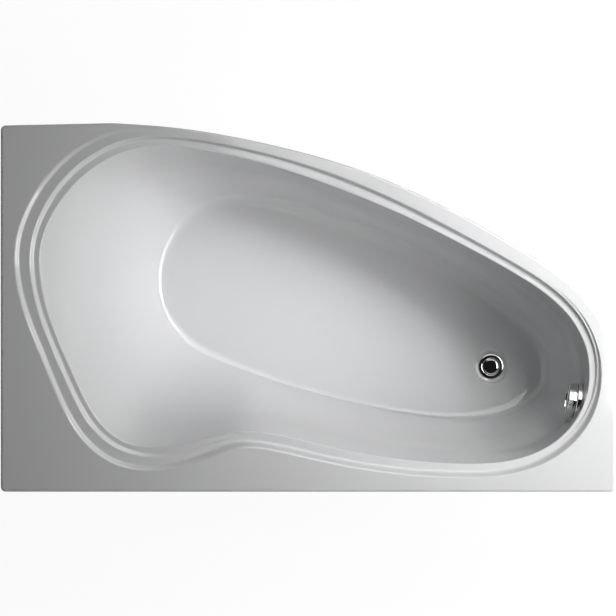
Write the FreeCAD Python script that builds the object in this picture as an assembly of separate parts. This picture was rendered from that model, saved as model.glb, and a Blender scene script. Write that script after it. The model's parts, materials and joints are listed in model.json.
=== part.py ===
import FreeCAD, Part
import math
import os

# An asymmetric corner bathtub of moulded acrylic, seen as it stands on its own adjustable feet.
# Millimetres. X runs from the head end to the waste end, Y from the straight wall side to the
# curved front, Z up. The origin is on the floor under the middle of the rim's outline.

# Overall size
LENGTH = 1500.0
WIDTH = 900.0
BASIN_DEPTH = 430.0
FLOOR_FALL = 12.0

# Shell, rim and steps
SHELL = 5.0
SKIRT_DEPTH = 40.0
RIM_EDGE_RADIUS = 6.0
CORNER_RADIUS = 12.0
STEP_DROP = 18.0
STEP_HALF_RUN = 4.0
STEP_SOFTNESS = 4.0
EDGE_SOFTNESS = 6.0
INNER_STEP_REACH = 25.0
OUTER_STEP_REACH = 60.0
WALL_SHOULDER = 60.0
FLOOR_FILLET = 95.0

# Stiffening under the shell
BOND_GAP = 0.3
LAMINATE = 4.0
BOARD_THICKNESS = 18.0
BOARD_INSET = 70.0
BOARD_END_CLEARANCE = 115.0
BATTEN_WIDTH = 16.0
BATTEN_HEIGHT = 18.0
BATTEN_END_GAP = 30.0

# Leg bars and feet
BAR_WIDTH = 40.0
BAR_HEIGHT = 25.0
BAR_WALL = 2.0
BAR_WALL_SETBACK = 70.0
HEAD_FOOT_CLEARANCE = 102.5
WASTE_FOOT_CLEARANCE = 85.3
FOOT_SETBACK = 22.0
ROD_RADIUS = 6.0
ROD_CLEARANCE = 0.05
ROD_HOLE_CLEARANCE = 0.5
ROD_TOP_MARGIN = 34.0
PAD_RADIUS = 26.0
PAD_TOP_RADIUS = 14.0
PAD_HEIGHT = 16.0
PAD_LIP = 5.0
PAD_SOCKET_DEPTH = 9.0
NUT_ACROSS_FLATS = 19.0
NUT_HEIGHT = 8.0
WASHER_RADIUS = 13.0
WASHER_THICKNESS = 2.0
SCREW_RADIUS = 2.5
SCREW_HEAD_RADIUS = 5.5
SCREW_HEAD_HEIGHT = 3.0
SCREW_LENGTH = 14.0
SCREW_CLEARANCE = 0.1
SCREW_SLOT_RADIUS = 1.2
SCREW_SLOT_DEPTH = 1.5

# Waste
DISH_RADIUS = 45.0
DISH_DEPTH = 6.0
DISH_SLOPE = 5.0
WASTE_HOLE_RADIUS = 26.0
FLANGE_RADIUS = 32.7
FLANGE_THICKNESS = 3.5
FLANGE_EDGE = 1.2
FLANGE_CREST_INSET = 4.0
FLANGE_CREST_WIDTH = 2.5
FLANGE_TUBE_RADIUS = 25.0
FLANGE_TUBE_LENGTH = 24.0
FLANGE_POCKET_RADIUS = 23.0
FLANGE_POCKET_DEPTH = 6.5
FLANGE_BORE_RADIUS = 20.5
SEAL_THICKNESS = 1.5
SEAL_SETBACK = 1.5
UNDER_SEAL_THICKNESS = 3.0
HUB_RADIUS = 6.0
HUB_HEIGHT = 8.0
HUB_CLEARANCE = 1.0
SPOKES = 3
SPOKE_WIDTH = 3.0
SPOKE_HEIGHT = 5.0
STEM_RADIUS = 3.0
STEM_LENGTH = 29.6
STEM_ENGAGEMENT = 4.0
RUNNING_CLEARANCE = 0.06
FIT_GAP = 0.05
PART_GAP = 0.3
CAP_RADIUS = 22.4
CAP_EDGE = 2.5
CAP_CROWN = 1.8
CAP_BOSS_RADIUS = 6.5
CAP_BOSS_LENGTH = 6.0
PLUG_SEAL_THICKNESS = 2.6
WASTE_COLLAR_RADIUS = 38.0
WASTE_COLLAR_HEIGHT = 6.0
CHAMBER_RADIUS = 26.5
CHAMBER_WALL = 3.5
CHAMBER_DEPTH = 26.0
CHAMBER_TAPER = 8.0
PIPE_RADIUS = 20.0
PIPE_WALL = 2.0
SPIGOT_LENGTH = 24.0
SIDE_SPIGOT_DROP = 31.0

# Lifting lever in the waste
LEVER_REACH = 20.0
LEVER_DROP = 11.0
LEVER_TIP_RADIUS = 2.5
LEVER_ARM = 3.0
LEVER_HUB_RADIUS = 4.0
LEVER_WIDTH = 6.0
LEVER_PIN_RADIUS = 1.5
LEVER_PIN_LENGTH = 40.0
LEVER_TURN = -100.0
PUSHER_RADIUS = 1.5
PUSHER_LENGTH = 15.0
GLAND_RADIUS = 7.0
GLAND_LENGTH = 20.0
GLAND_STOP = 8.0
CABLE_RADIUS = 2.5
CABLE_STUB = 24.0
CABLE_TOP_REACH = 230.0
CABLE_END_REACH = 150.0
CABLE_RUNS = 9

# Overflow
OVERFLOW_DROP = 95.0
OVERFLOW_TURN = 10.0
OVERFLOW_HOLE_RADIUS = 29.0
SEAT_RADIUS = 48.0
SEAT_DEPTH = 10.0
ROSETTE_RADIUS = 45.5
ROSETTE_HEIGHT = 10.0
ROSETTE_WALL = 3.0
ROSETTE_PLATE = 3.0
ROSETTE_HUB_RADIUS = 9.0
INLET_HOLE_RADIUS = 5.0
INLET_HOLE_CIRCLE = 19.0
INLET_HOLES = 6
KNOB_GAP = 1.0
KNOB_RADIUS = 43.0
KNOB_HEIGHT = 19.0
KNOB_WALL = 3.0
KNOB_HUB_RADIUS = 8.0
KNOB_EDGE = 1.5
KNOB_GROOVES = 3
KNOB_GROOVE_WIDTH = 1.6
KNOB_GROOVE_DEPTH = 0.8
KNOB_GROOVE_PITCH = 3.2
KNOB_GROOVE_SETBACK = 3.0
KNOB_GRIP_WIDTH = 12.0
KNOB_GRIP_DEPTH = 7.0
KNOB_GRIP_MARGIN = 5.0
SPINDLE_RADIUS = 4.0
SPINDLE_ENGAGEMENT = 10.0
ECCENTRIC_RADIUS = 8.0
ECCENTRIC_REACH = 3.5
ECCENTRIC_WIDTH = 5.0
ECCENTRIC_DEPTH = 22.0
YOKE_BAR = 3.5
YOKE_SIDE_GAP = 0.5
YOKE_TAIL = 25.0
BODY_FLANGE_RADIUS = 41.0
BODY_FLANGE_THICKNESS = 4.0
BODY_GASKET = 4.0
BODY_RADIUS = 31.0
BODY_DEPTH = 36.0
BODY_WALL = 3.0
BEARING_RADIUS = 7.0
BEARING_LENGTH = 5.0
FIXING_CIRCLE = 23.5
FIXING_RADIUS = 2.0
FIXING_HEAD_RADIUS = 3.6
FIXING_HEAD_HEIGHT = 2.2
FIXING_BOSS_RADIUS = 5.0
FIXING_BOSS_LENGTH = 16.0
FIXING_LENGTH = 30.0

# Overflow hose and its nuts
HOSE_WALL = 4.0
HOSE_BEND = 80.0
HOSE_OVERLAP = 20.0
HOSE_OFFSET = 15.0
SIDE_SPIGOT_RADIUS = 12.0
SIDE_SPIGOT_BORE = 9.5
SIDE_SPIGOT_LENGTH = 34.0
HOSE_DEPTH = 23.0
HOSE_NUT_WALL = 5.0
HOSE_NUT_LENGTH = 16.0
HOSE_NUT_SETBACK = 3.0

# Trap and outlet
TRAP_BEND = 40.0
TRAP_FLOOR_GAP = 10.0
TRAP_SEAL_DEPTH = 50.0
INLET_RISE = 13.5
ELBOW_BEND = 22.0
ELBOW_RUN = 10.0
SOCKET_WALL = 3.0
SOCKET_DEPTH = 12.0
PIPE_SEAL_LENGTH = 6.0
PIPE_NUT_WALL = 5.5
PIPE_NUT_LENGTH = 20.0
PIPE_NUT_LIP = 3.0
NECK_RADIUS = 11.0
NECK_WALL = 2.5
NECK_LENGTH = 12.0
CLEANING_SEAL = 2.0
CLEANING_HEAD_RADIUS = 14.0
CLEANING_HEAD_LENGTH = 8.0
CLEANING_SPIGOT_LENGTH = 9.0
OUTLET_WALL_GAP = 30.0
STOP_BEAD_HEIGHT = 1.5
STOP_BEAD_WIDTH = 4.0
STOP_BEAD_GAP = 20.0

# Cuts run past the piece by this much
OVERRUN = 20.0
FULL_TURN = 360.0
QUARTER_TURN = 90.0

# Places along the tub, as shares of its length and width from the head wall and the straight side
WASTE_X_SHARE = 0.820
WASTE_Y_SHARE = 0.328
HEAD_BAR_X_SHARE = 0.333
FOOT_BAR_X_SHARE = 0.700
OVERFLOW_STATION_SHARE = 0.471

# Reach of a cable's arc, as a share of the shorter run beside it
CORD_ARC_SHARE = 0.45

# Curved front edge, from the head end to the waste end
HEAD_CORNER_SHARE = 0.9935
FRONT_SHARES = (
    (0.1818, 1.0000), (0.2760, 0.9886), (0.3669, 0.9664), (0.4578, 0.9340), (0.5487, 0.8926),
    (0.6396, 0.8366), (0.7305, 0.7662), (0.8214, 0.6824), (0.8896, 0.6107), (0.9351, 0.5498),
    (0.9620, 0.4997), (0.9840, 0.4416), (1.0000, 0.3793),
)

# Stations round the basin, from the middle of the head end past the straight side. Each row is the
# basin's edge at the ledge and the line where its wall would meet the floor if nothing were rounded.
EDGE_SHARES = (
    (0.0627, 0.6181), (0.0725, 0.5067), (0.0945, 0.4067), (0.1210, 0.3069), (0.1564, 0.1944),
    (0.2068, 0.1304), (0.2683, 0.1216), (0.3303, 0.1422), (0.3891, 0.1638), (0.4499, 0.1539),
    (0.5193, 0.1267), (0.5946, 0.1005), (0.6745, 0.0827), (0.7558, 0.0753), (0.8308, 0.0835),
    (0.8929, 0.1236), (0.9365, 0.1935), (0.9567, 0.2819), (0.9546, 0.3810), (0.9284, 0.4711),
    (0.8815, 0.5445), (0.8245, 0.6045), (0.7648, 0.6593), (0.7045, 0.7115), (0.6426, 0.7603),
    (0.5773, 0.8056), (0.5066, 0.8500), (0.4305, 0.8899), (0.3496, 0.9211), (0.2688, 0.9373),
    (0.1890, 0.9173), (0.1149, 0.8290), (0.0724, 0.7126),
)
FLOOR_SHARES = (
    (0.2433, 0.6145), (0.2418, 0.5498), (0.2505, 0.4881), (0.2682, 0.4386), (0.2918, 0.3991),
    (0.3176, 0.3714), (0.3467, 0.3481), (0.3822, 0.3238), (0.4245, 0.2979), (0.4742, 0.2713),
    (0.5341, 0.2437), (0.6025, 0.2162), (0.6760, 0.1931), (0.7514, 0.1805), (0.8199, 0.1865),
    (0.8712, 0.2139), (0.9019, 0.2555), (0.9153, 0.3065), (0.9126, 0.3625), (0.8946, 0.4199),
    (0.8628, 0.4796), (0.8175, 0.5409), (0.7620, 0.6006), (0.7008, 0.6558), (0.6361, 0.7053),
    (0.5678, 0.7487), (0.4980, 0.7849), (0.4326, 0.8090), (0.3788, 0.8154), (0.3365, 0.8036),
    (0.3019, 0.7746), (0.2740, 0.7308), (0.2541, 0.6760),
)

# At each station: how far the inner and the outer step stand from the basin's edge, how much of the
# drop the outer step takes, how far the wall leans in at half depth, and how soft the floor fillet is.
STEP_SHARES = (
    (0.76, 0.92, 0.50, 0.46, 0.28), (0.68, 0.82, 0.50, 0.46, 0.25), (0.68, 0.77, 0.50, 0.46, 0.25),
    (0.72, 0.83, 0.50, 0.46, 0.25), (0.76, 0.90, 0.54, 0.46, 0.25), (0.72, 0.93, 0.60, 0.45, 0.28),
    (0.68, 0.84, 0.70, 0.44, 0.30), (0.64, 0.69, 0.86, 0.42, 0.30), (0.64, 0.55, 1.00, 0.40, 0.30),
    (0.64, 0.56, 1.00, 0.40, 0.30), (0.64, 0.55, 1.00, 0.40, 0.30), (0.64, 0.52, 1.00, 0.40, 0.30),
    (0.64, 0.50, 1.00, 0.38, 0.31), (0.65, 0.48, 1.00, 0.33, 0.33), (0.68, 0.47, 1.00, 0.25, 0.38),
    (0.72, 0.46, 1.00, 0.17, 0.46), (0.75, 0.46, 0.92, 0.11, 0.60), (0.76, 0.45, 0.72, 0.10, 0.78),
    (0.76, 0.43, 0.42, 0.11, 0.92), (0.76, 0.42, 0.16, 0.16, 1.00), (0.75, 0.43, 0.00, 0.22, 1.00),
    (0.73, 0.46, 0.00, 0.28, 1.00), (0.74, 0.50, 0.00, 0.32, 1.00), (0.79, 0.54, 0.00, 0.34, 1.00),
    (0.88, 0.59, 0.00, 0.35, 1.00), (0.98, 0.62, 0.00, 0.36, 1.00), (0.98, 0.62, 0.00, 0.37, 1.00),
    (0.88, 0.50, 0.00, 0.38, 0.96), (0.80, 0.50, 0.00, 0.40, 0.86), (0.82, 0.52, 0.00, 0.42, 0.70),
    (0.92, 0.95, 0.10, 0.44, 0.52), (0.94, 0.97, 0.34, 0.45, 0.40), (0.84, 0.96, 0.48, 0.46, 0.32),
)

# Heights, from the floor up through the trap and the waste to the basin and its rim
TRAP_LOW = TRAP_FLOOR_GAP + PIPE_RADIUS
TRAP_CENTRE = TRAP_LOW + TRAP_BEND
SPIGOT_END = TRAP_CENTRE + INLET_RISE
TAPER_END = SPIGOT_END + SPIGOT_LENGTH
CHAMBER_END = TAPER_END + CHAMBER_TAPER
FLANGE_END = CHAMBER_END + CHAMBER_DEPTH
SEAT = FLANGE_END + FLANGE_TUBE_LENGTH
DISH = SEAT - SEAL_THICKNESS
DISH_UNDERSIDE = DISH - SHELL
WASTE_FLOOR = DISH + DISH_DEPTH
DECK = WASTE_FLOOR + BASIN_DEPTH
DECK_UNDERSIDE = DECK - SHELL
LEDGE = DECK - STEP_DROP

# Plan positions
WASTE_X = (WASTE_X_SHARE - 0.5) * LENGTH
WASTE_Y = (WASTE_Y_SHARE - 0.5) * WIDTH


def vec(x, y, z):
    return FreeCAD.Vector(x, y, z)


def plan(share):
    return vec((share[0] - 0.5) * LENGTH, (share[1] - 0.5) * WIDTH, 0)


def unit(vector):
    return vector / vector.Length


def turned_left(vector):
    return vec(-vector.y, vector.x, 0)


def mitre(first, second):
    """Offset of a corner between two unit normals, for an offset of one."""
    return (first + second) / (1 + first.dot(second))


def cylinder(radius, low, high, x=0, y=0):
    return Part.makeCylinder(radius, high - low, vec(x, y, low))


def tube(radius, bore, low, high, x=0, y=0):
    return cylinder(radius, low, high, x, y).cut(cylinder(bore, low, high, x, y))


def box(x_low, x_high, y_low, y_high, z_low, z_high):
    return Part.makeBox(x_high - x_low, y_high - y_low, z_high - z_low, vec(x_low, y_low, z_low))


def hexagon(across_flats, low, high, x=0, y=0):
    """A hexagonal block."""
    circle = across_flats / math.sqrt(3)
    corners = []
    for step in range(7):
        angle = math.radians(step * FULL_TURN / 6)
        corners.append(vec(x + circle * math.cos(angle), y + circle * math.sin(angle), low))
    return Part.Face(Part.makePolygon(corners)).extrude(vec(0, 0, high - low))


def revolved(profile):
    """A solid of revolution about Z from (radius, height) corners."""
    corners = [vec(radius, 0, height) for radius, height in profile]
    outline = Part.makePolygon(corners + corners[:1])
    return Part.Face(outline).revolve(vec(0, 0, 0), vec(0, 0, 1), FULL_TURN)


def rounded_route(points, bends):
    """Straight runs joined by tangent arcs, of one radius or of one radius for each corner."""
    if not isinstance(bends, list):
        bends = [bends] * (len(points) - 2)
    edges = []
    start = points[0]
    for before, corner, after, bend in zip(points, points[1:], points[2:], bends):
        into = unit(corner - before)
        away = unit(after - corner)
        turn = into.getAngle(away)
        reach = bend * math.tan(turn / 2)
        inward = unit(away - into)
        middle = corner + inward * (bend / math.cos(turn / 2) - bend)
        arc_start = corner - into * reach
        arc_end = corner + away * reach
        if (arc_start - start).Length > bend / 1000:
            edges.append(Part.LineSegment(start, arc_start).toShape())
        edges.append(Part.Arc(arc_start, middle, arc_end).toShape())
        start = arc_end
    if (points[-1] - start).Length > bends[-1] / 1000:
        edges.append(Part.LineSegment(start, points[-1]).toShape())
    return Part.Wire(edges)


def rod_along(points, bend, radius):
    """A round solid along a rounded route."""
    route = rounded_route(points, bend)
    ring = Part.Wire(Part.Circle(points[0], points[1] - points[0], radius).toShape())
    return route.makePipeShell([ring], True, False)


def pipe_along(points, bend, radius, bore):
    return rod_along(points, bend, radius).cut(rod_along(points, bend, bore))


# Outline of the rim

def outline_corners(inset):
    """Corners of the rim's outline in order, moved inwards by inset."""
    shares = [(0, 0), (1, 0)] + list(reversed(FRONT_SHARES)) + [(0, HEAD_CORNER_SHARE)]
    corners = [plan(share) for share in shares]
    moved = []
    for index, corner in enumerate(corners):
        arriving = unit(corner - corners[index - 1])
        leaving = unit(corners[(index + 1) % len(corners)] - corner)
        moved.append(corner + mitre(turned_left(arriving), turned_left(leaving)) * inset)
    return moved


def outline_prism(inset, low, high, corner_radius, top_radius):
    """The rim's outline as a solid with rounded corners and a rounded top edge."""
    corners = outline_corners(inset)
    front = Part.BSplineCurve()
    front.interpolate(corners[2:-1])
    edges = [
        Part.LineSegment(corners[-1], corners[0]).toShape(),
        Part.LineSegment(corners[0], corners[1]).toShape(),
        Part.LineSegment(corners[1], corners[2]).toShape(),
        front.toShape(),
        Part.LineSegment(corners[-2], corners[-1]).toShape(),
    ]
    face = Part.Face(Part.Wire(edges))
    face.translate(vec(0, 0, low))
    prism = face.extrude(vec(0, 0, high - low))
    sharp = (corners[0], corners[1], corners[-1])
    upright = [edge for edge in prism.Edges if is_upright_at(edge, sharp)]
    prism = prism.makeFillet(corner_radius, upright)
    if top_radius > 0:
        top = [edge for edge in prism.Edges if edge.BoundBox.ZMin > high - SHELL / 10]
        prism = prism.makeFillet(top_radius, top)
    return prism


def is_upright_at(edge, corners):
    bounds = edge.BoundBox
    if bounds.ZLength < SHELL:
        return False
    middle = vec(bounds.Center.x, bounds.Center.y, 0)
    return any((middle - corner).Length < SHELL / 10 for corner in corners)


# Surface of the basin

def floor_height(point):
    """Height of the sloping basin floor, which passes through the waste."""
    head = plan(FLOOR_SHARES[0]).x
    return WASTE_FLOOR + FLOOR_FALL * (WASTE_X - point.x) / (WASTE_X - head)


def faired(points):
    """Control points whose closed curve passes close to the points."""
    count = len(points)
    result = []
    for index, point in enumerate(points):
        bend = points[index - 1] + points[(index + 1) % count] - point * 2
        result.append(point - bend / 6)
    return result


EDGE_POINTS = faired([plan(share) for share in EDGE_SHARES])
FLOOR_POINTS = faired([plan(share) for share in FLOOR_SHARES])
STATIONS = len(EDGE_POINTS)
RINGS_TO_SHOULDER_COUNT = 10


def station_profile(index):
    """Control points from the deck to the floor at one station, each with its outward offset."""
    inner_share, outer_share, drop_share, lean_share, fillet_share = STEP_SHARES[index]
    edge = EDGE_POINTS[index]
    corner = FLOOR_POINTS[index]
    along = EDGE_POINTS[(index + 1) % STATIONS] - EDGE_POINTS[index - 1]
    outward = unit(turned_left(along) * -1)
    inward = unit(corner - edge)
    inset = (corner - edge).Length
    inner = inner_share * INNER_STEP_REACH
    outer = outer_share * OUTER_STEP_REACH
    run = min(STEP_HALF_RUN, (outer - inner) / 5)
    soft = min(STEP_SOFTNESS, (outer - inner) / 5)
    band = DECK - drop_share * STEP_DROP
    foot = floor_height(corner)
    half = (LEDGE + foot) / 2
    lean = lean_share * inset
    upper = unit(vec(-lean, half - LEDGE, 0))
    lower = unit(vec(lean - inset, foot - half, 0))
    fillet = fillet_share * FLOOR_FILLET
    profile = [
        (outer + run + soft, DECK), (outer + run, DECK),
        (outer - run, band), (outer - run - soft, band),
        (inner + run + soft, band), (inner + run, band),
        (inner - run, LEDGE), (inner - run - soft, LEDGE),
        (EDGE_SOFTNESS, LEDGE), (0, LEDGE),
        (upper.x * EDGE_SOFTNESS, LEDGE + upper.y * EDGE_SOFTNESS),
        (upper.x * WALL_SHOULDER, LEDGE + upper.y * WALL_SHOULDER),
        (-lean, half),
        (-inset - lower.x * fillet, foot - lower.y * fillet),
        (-inset, foot),
        (-inset - fillet, foot),
    ]
    return profile, edge, outward, inward


def placed(offset, height, edge, outward, inward):
    """A profile point in space: outwards over the ledge, inwards down the wall."""
    side = outward * offset if offset >= 0 else inward * -offset
    return vec(edge.x + side.x, edge.y + side.y, height)


def control_net():
    """Rings of control points from the deck down to the floor, and their offset directions."""
    net = []
    directions = []
    for index in range(STATIONS):
        profile, edge, outward, inward = station_profile(index)
        column = [placed(offset, height, edge, outward, inward) for offset, height in profile]
        column[-1].z = floor_height(column[-1])
        column[-2].z = floor_height(column[-2])
        normals = []
        for start, end in zip(profile, profile[1:]):
            leg = unit(vec(end[0] - start[0], end[1] - start[1], 0))
            normals.append(vec(-leg.y, leg.x, 0))
        shifts = [normals[0]]
        shifts += [mitre(first, second) for first, second in zip(normals, normals[1:])]
        shifts.append(vec(0, -1, 0))
        away = [outward if offset >= 0 else inward * -1 for offset, height in profile]
        net.append(column)
        directions.append([vec(a.x * s.x, a.y * s.x, s.y) for a, s in zip(away, shifts)])
    rings = [list(ring) for ring in zip(*net)]
    ways = [list(ring) for ring in zip(*directions)]
    return rings, ways


RING_POINTS, RING_WAYS = control_net()


def offset_rings(offset, first=0):
    """Control rings moved out from the basin by offset, from ring number first."""
    rings = []
    for points, ways in zip(RING_POINTS[first:], RING_WAYS[first:]):
        rings.append([point + way * offset for point, way in zip(points, ways)])
    return rings


def ring_surface(rings):
    """A smooth closed surface over control rings: cubic round the basin, quadratic down it."""
    poles = [list(column) for column in zip(*rings)]
    surface = Part.BSplineSurface()
    down = len(rings) - 2
    surface.buildFromPolesMultsKnots(
        poles,
        [1] * (STATIONS + 1),
        [3] + [1] * (down - 1) + [3],
        list(range(STATIONS + 1)),
        list(range(down + 1)),
        True,
        False,
        3,
        2,
    )
    return surface


def end_edges(surface):
    first, last = surface.bounds()[2:]
    return surface.vIso(first).toShape(), surface.vIso(last).toShape()


def solid_of(faces):
    """One solid from faces that meet along their edges."""
    shell = Part.makeShell(faces)
    shell.sewShape()
    solid = Part.makeSolid(shell)
    if solid.Volume < 0:
        solid.reverse()
    return solid


def skin_between(inner_rings, outer_rings):
    """A skin whose two sides follow the rings, closed at the top and by two floors."""
    inner = ring_surface(inner_rings)
    outer = ring_surface(outer_rings)
    inner_top, inner_floor = end_edges(inner)
    outer_top, outer_floor = end_edges(outer)
    faces = [
        inner.toShape(),
        outer.toShape(),
        Part.Face(Part.Wire(inner_floor)),
        Part.Face(Part.Wire(outer_floor)),
        Part.makeRuledSurface(inner_top, outer_top),
    ]
    return solid_of(faces)


def basin_room():
    """The space inside the basin, up to the deck."""
    surface = ring_surface(offset_rings(0))
    top, floor = end_edges(surface)
    return solid_of([surface.toShape(), Part.Face(Part.Wire(top)), Part.Face(Part.Wire(floor))])


def wall_point(height):
    """A point of the basin's wall at the overflow's station and at one height."""
    surface = ring_surface(offset_rings(0))
    around = OVERFLOW_STATION_SHARE * STATIONS
    low, high = surface.bounds()[2:]
    for step in range(40):
        middle = (low + high) / 2
        if surface.value(around, middle).z > height:
            low = middle
        else:
            high = middle
    return surface.value(around, low)


OVERFLOW_POINT = wall_point(DECK - OVERFLOW_DROP)
OVERFLOW_AXIS = vec(-math.cos(math.radians(OVERFLOW_TURN)), math.sin(math.radians(OVERFLOW_TURN)), 0)


def on_wall(shape):
    """Moves a piece built about Z to the overflow: Z into the basin, X upwards."""
    upwards = vec(0, 0, 1)
    turn = FreeCAD.Rotation(upwards, upwards.cross(OVERFLOW_AXIS) * -1, OVERFLOW_AXIS, "ZXY")
    shape = shape.copy()
    shape.Placement = FreeCAD.Placement(OVERFLOW_POINT, turn)
    return shape


def at_waste(shape):
    shape = shape.copy()
    shape.translate(vec(WASTE_X, WASTE_Y, 0))
    return shape


# Shell and its stiffening

def tub_shell():
    """Deck with its turned-down skirt, stepped basin, waste dish and flat overflow seat."""
    skirt = DECK - SKIRT_DEPTH
    outside = outline_prism(0, skirt, DECK, CORNER_RADIUS, RIM_EDGE_RADIUS)
    inside = outline_prism(SHELL, skirt - OVERRUN, DECK_UNDERSIDE, CORNER_RADIUS - SHELL, 0)
    deck = outside.cut(inside)
    hole = Part.Face(Part.Wire(end_edges(ring_surface(offset_rings(0)))[0]))
    hole.translate(vec(0, 0, -SHELL - OVERRUN))
    deck = deck.cut(hole.extrude(vec(0, 0, SHELL + OVERRUN + OVERRUN)))
    shell = deck.fuse(skin_between(offset_rings(0), offset_rings(SHELL)))
    boss = at_waste(cylinder(DISH_RADIUS + SHELL, DISH_UNDERSIDE, WASTE_FLOOR - SHELL / 2))
    dish = at_waste(revolved([
        (0, DISH),
        (DISH_RADIUS - DISH_SLOPE, DISH),
        (DISH_RADIUS, WASTE_FLOOR),
        (DISH_RADIUS, WASTE_FLOOR + OVERRUN),
        (0, WASTE_FLOOR + OVERRUN),
    ]))
    waste_hole = at_waste(cylinder(WASTE_HOLE_RADIUS, DISH_UNDERSIDE - OVERRUN, DISH + OVERRUN))
    seat = on_wall(cylinder(SEAT_RADIUS + SHELL, -SEAT_DEPTH, 0))
    rim = on_wall(cylinder(SEAT_RADIUS + SHELL, 0, SEAT_DEPTH)).cut(basin_room())
    front = on_wall(cylinder(SEAT_RADIUS, 0, OVERRUN))
    back = on_wall(cylinder(SEAT_RADIUS, -SEAT_DEPTH - OVERRUN, -SHELL))
    wall_hole = on_wall(cylinder(OVERFLOW_HOLE_RADIUS, -OVERRUN, OVERRUN))
    shell = shell.fuse(boss).cut(dish).cut(waste_hole)
    return shell.fuse([seat, rim]).cut(front).cut(back).cut(wall_hole)


def board_top():
    lowest = min(point.z for point in offset_rings(SHELL + BOND_GAP)[-1])
    return lowest - LAMINATE


def laminate_backing():
    """Resin and glass skin bonded under the basin, with a level underside for the board."""
    inner = laminate_rings(SHELL + BOND_GAP)
    outer = laminate_rings(SHELL + BOND_GAP + LAMINATE)
    level = board_top()
    for ring in outer[-2:]:
        for point in ring:
            point.z = level
    skin = skin_between(inner, outer)
    dish = at_waste(cylinder(DISH_RADIUS + SHELL + SHELL, level - OVERRUN, WASTE_FLOOR + OVERRUN))
    overflow = on_wall(cylinder(SEAT_RADIUS + SHELL + SHELL, -SEAT_DEPTH - OVERRUN, OVERRUN))
    return skin.cut(dish).cut(overflow)


def laminate_rings(offset):
    """The basin's rings from a line below the ledge down to the floor."""
    rings = offset_rings(offset, RINGS_TO_SHOULDER_COUNT)
    rings[0] = [(upper + lower) / 2 for upper, lower in zip(rings[0], rings[1])]
    return rings


def rim_battens():
    """Timber battens glued under the deck along the three walled sides."""
    half_length = LENGTH / 2 - SHELL
    half_width = WIDTH / 2 - SHELL
    low = DECK_UNDERSIDE - BATTEN_HEIGHT
    high = DECK_UNDERSIDE
    wall_ends = half_length - BATTEN_END_GAP
    side_start = BATTEN_WIDTH + BATTEN_END_GAP - half_width
    head_end = plan((0, HEAD_CORNER_SHARE)).y - SHELL - BATTEN_END_GAP
    waste_end = plan(FRONT_SHARES[-1]).y - SHELL - BATTEN_END_GAP
    return Part.makeCompound([
        box(-wall_ends, wall_ends, -half_width, BATTEN_WIDTH - half_width, low, high),
        box(-half_length, BATTEN_WIDTH - half_length, side_start, head_end, low, high),
        box(half_length - BATTEN_WIDTH, half_length, side_start, waste_end, low, high),
    ])


# Leg bars and feet

BAR_TOP = board_top() - BOARD_THICKNESS
WEB_UNDERSIDE = BAR_TOP - BAR_WALL
BAR_START = BAR_WALL_SETBACK - WIDTH / 2


def board_blank():
    """The board before it is drilled."""
    corners = []
    for index, point in enumerate(FLOOR_POINTS):
        along = FLOOR_POINTS[(index + 1) % STATIONS] - FLOOR_POINTS[index - 1]
        corners.append(point + unit(turned_left(along)) * BOARD_INSET)
    outline = Part.BSplineCurve()
    outline.buildFromPolesMultsKnots(
        corners, [1] * (STATIONS + 1), list(range(STATIONS + 1)), True, 3
    )
    face = Part.Face(Part.Wire(outline.toShape()))
    face.translate(vec(0, 0, BAR_TOP))
    end = WASTE_X - BOARD_END_CLEARANCE
    return face.extrude(vec(0, 0, BOARD_THICKNESS)).cut(box(end, LENGTH, -WIDTH, WIDTH, 0, DECK))


def board_strip(x):
    """The bounds of the board's part above a bar."""
    half = BAR_WIDTH / 2
    return board_blank().common(box(x - half, x + half, -WIDTH, WIDTH, 0, DECK)).BoundBox


def bar_of(x_share, foot_clearance):
    """A bar's place along the tub, the board's strip above it, and its length to past its far foot."""
    x = (x_share - 0.5) * LENGTH
    strip = board_strip(x)
    return x, strip, strip.YMax + foot_clearance + FOOT_SETBACK - BAR_START


BARS = {
    "head": bar_of(HEAD_BAR_X_SHARE, HEAD_FOOT_CLEARANCE),
    "foot": bar_of(FOOT_BAR_X_SHARE, WASTE_FOOT_CLEARANCE),
}


def foot_places():
    """Plan positions of the feet, two for each bar, from the head end."""
    places = []
    for x, strip, length in BARS.values():
        places.append((x, BAR_START + FOOT_SETBACK))
        places.append((x, BAR_START + length - FOOT_SETBACK))
    return places


def screw_places():
    """Four screws for each bar, spread over the board's width above it."""
    places = []
    for x, strip, length in BARS.values():
        for share in (0.2, 0.4, 0.6, 0.8):
            places.append((x, strip.YMin + share * strip.YLength))
    return places


def base_board():
    """Chipboard that stiffens the floor and takes the bars' screws; it stops short of the waste."""
    board = board_blank()
    radius = SCREW_RADIUS + SCREW_CLEARANCE
    for x, y in screw_places():
        board = board.cut(cylinder(radius, BAR_TOP, WEB_UNDERSIDE + SCREW_LENGTH + SCREW_CLEARANCE, x, y))
    return board


def leg_bar(name):
    """A steel channel under the board, open downwards, drilled for two feet and four screws."""
    x, strip, length = BARS[name]
    half = BAR_WIDTH / 2
    bar = box(x - half, x + half, BAR_START, BAR_START + length, BAR_TOP - BAR_HEIGHT, BAR_TOP)
    room = half - BAR_WALL
    hollow = box(x - room, x + room, BAR_START - OVERRUN, BAR_START + length + OVERRUN, 0, WEB_UNDERSIDE)
    bar = bar.cut(hollow)
    rods = [(place, ROD_RADIUS + ROD_HOLE_CLEARANCE) for place in foot_places()]
    screws = [(place, SCREW_RADIUS + SCREW_CLEARANCE) for place in screw_places()]
    for place, radius in rods + screws:
        if abs(place[0] - x) < half:
            bar = bar.cut(cylinder(radius, WEB_UNDERSIDE - OVERRUN, BAR_TOP + OVERRUN, *place))
    return bar


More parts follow.
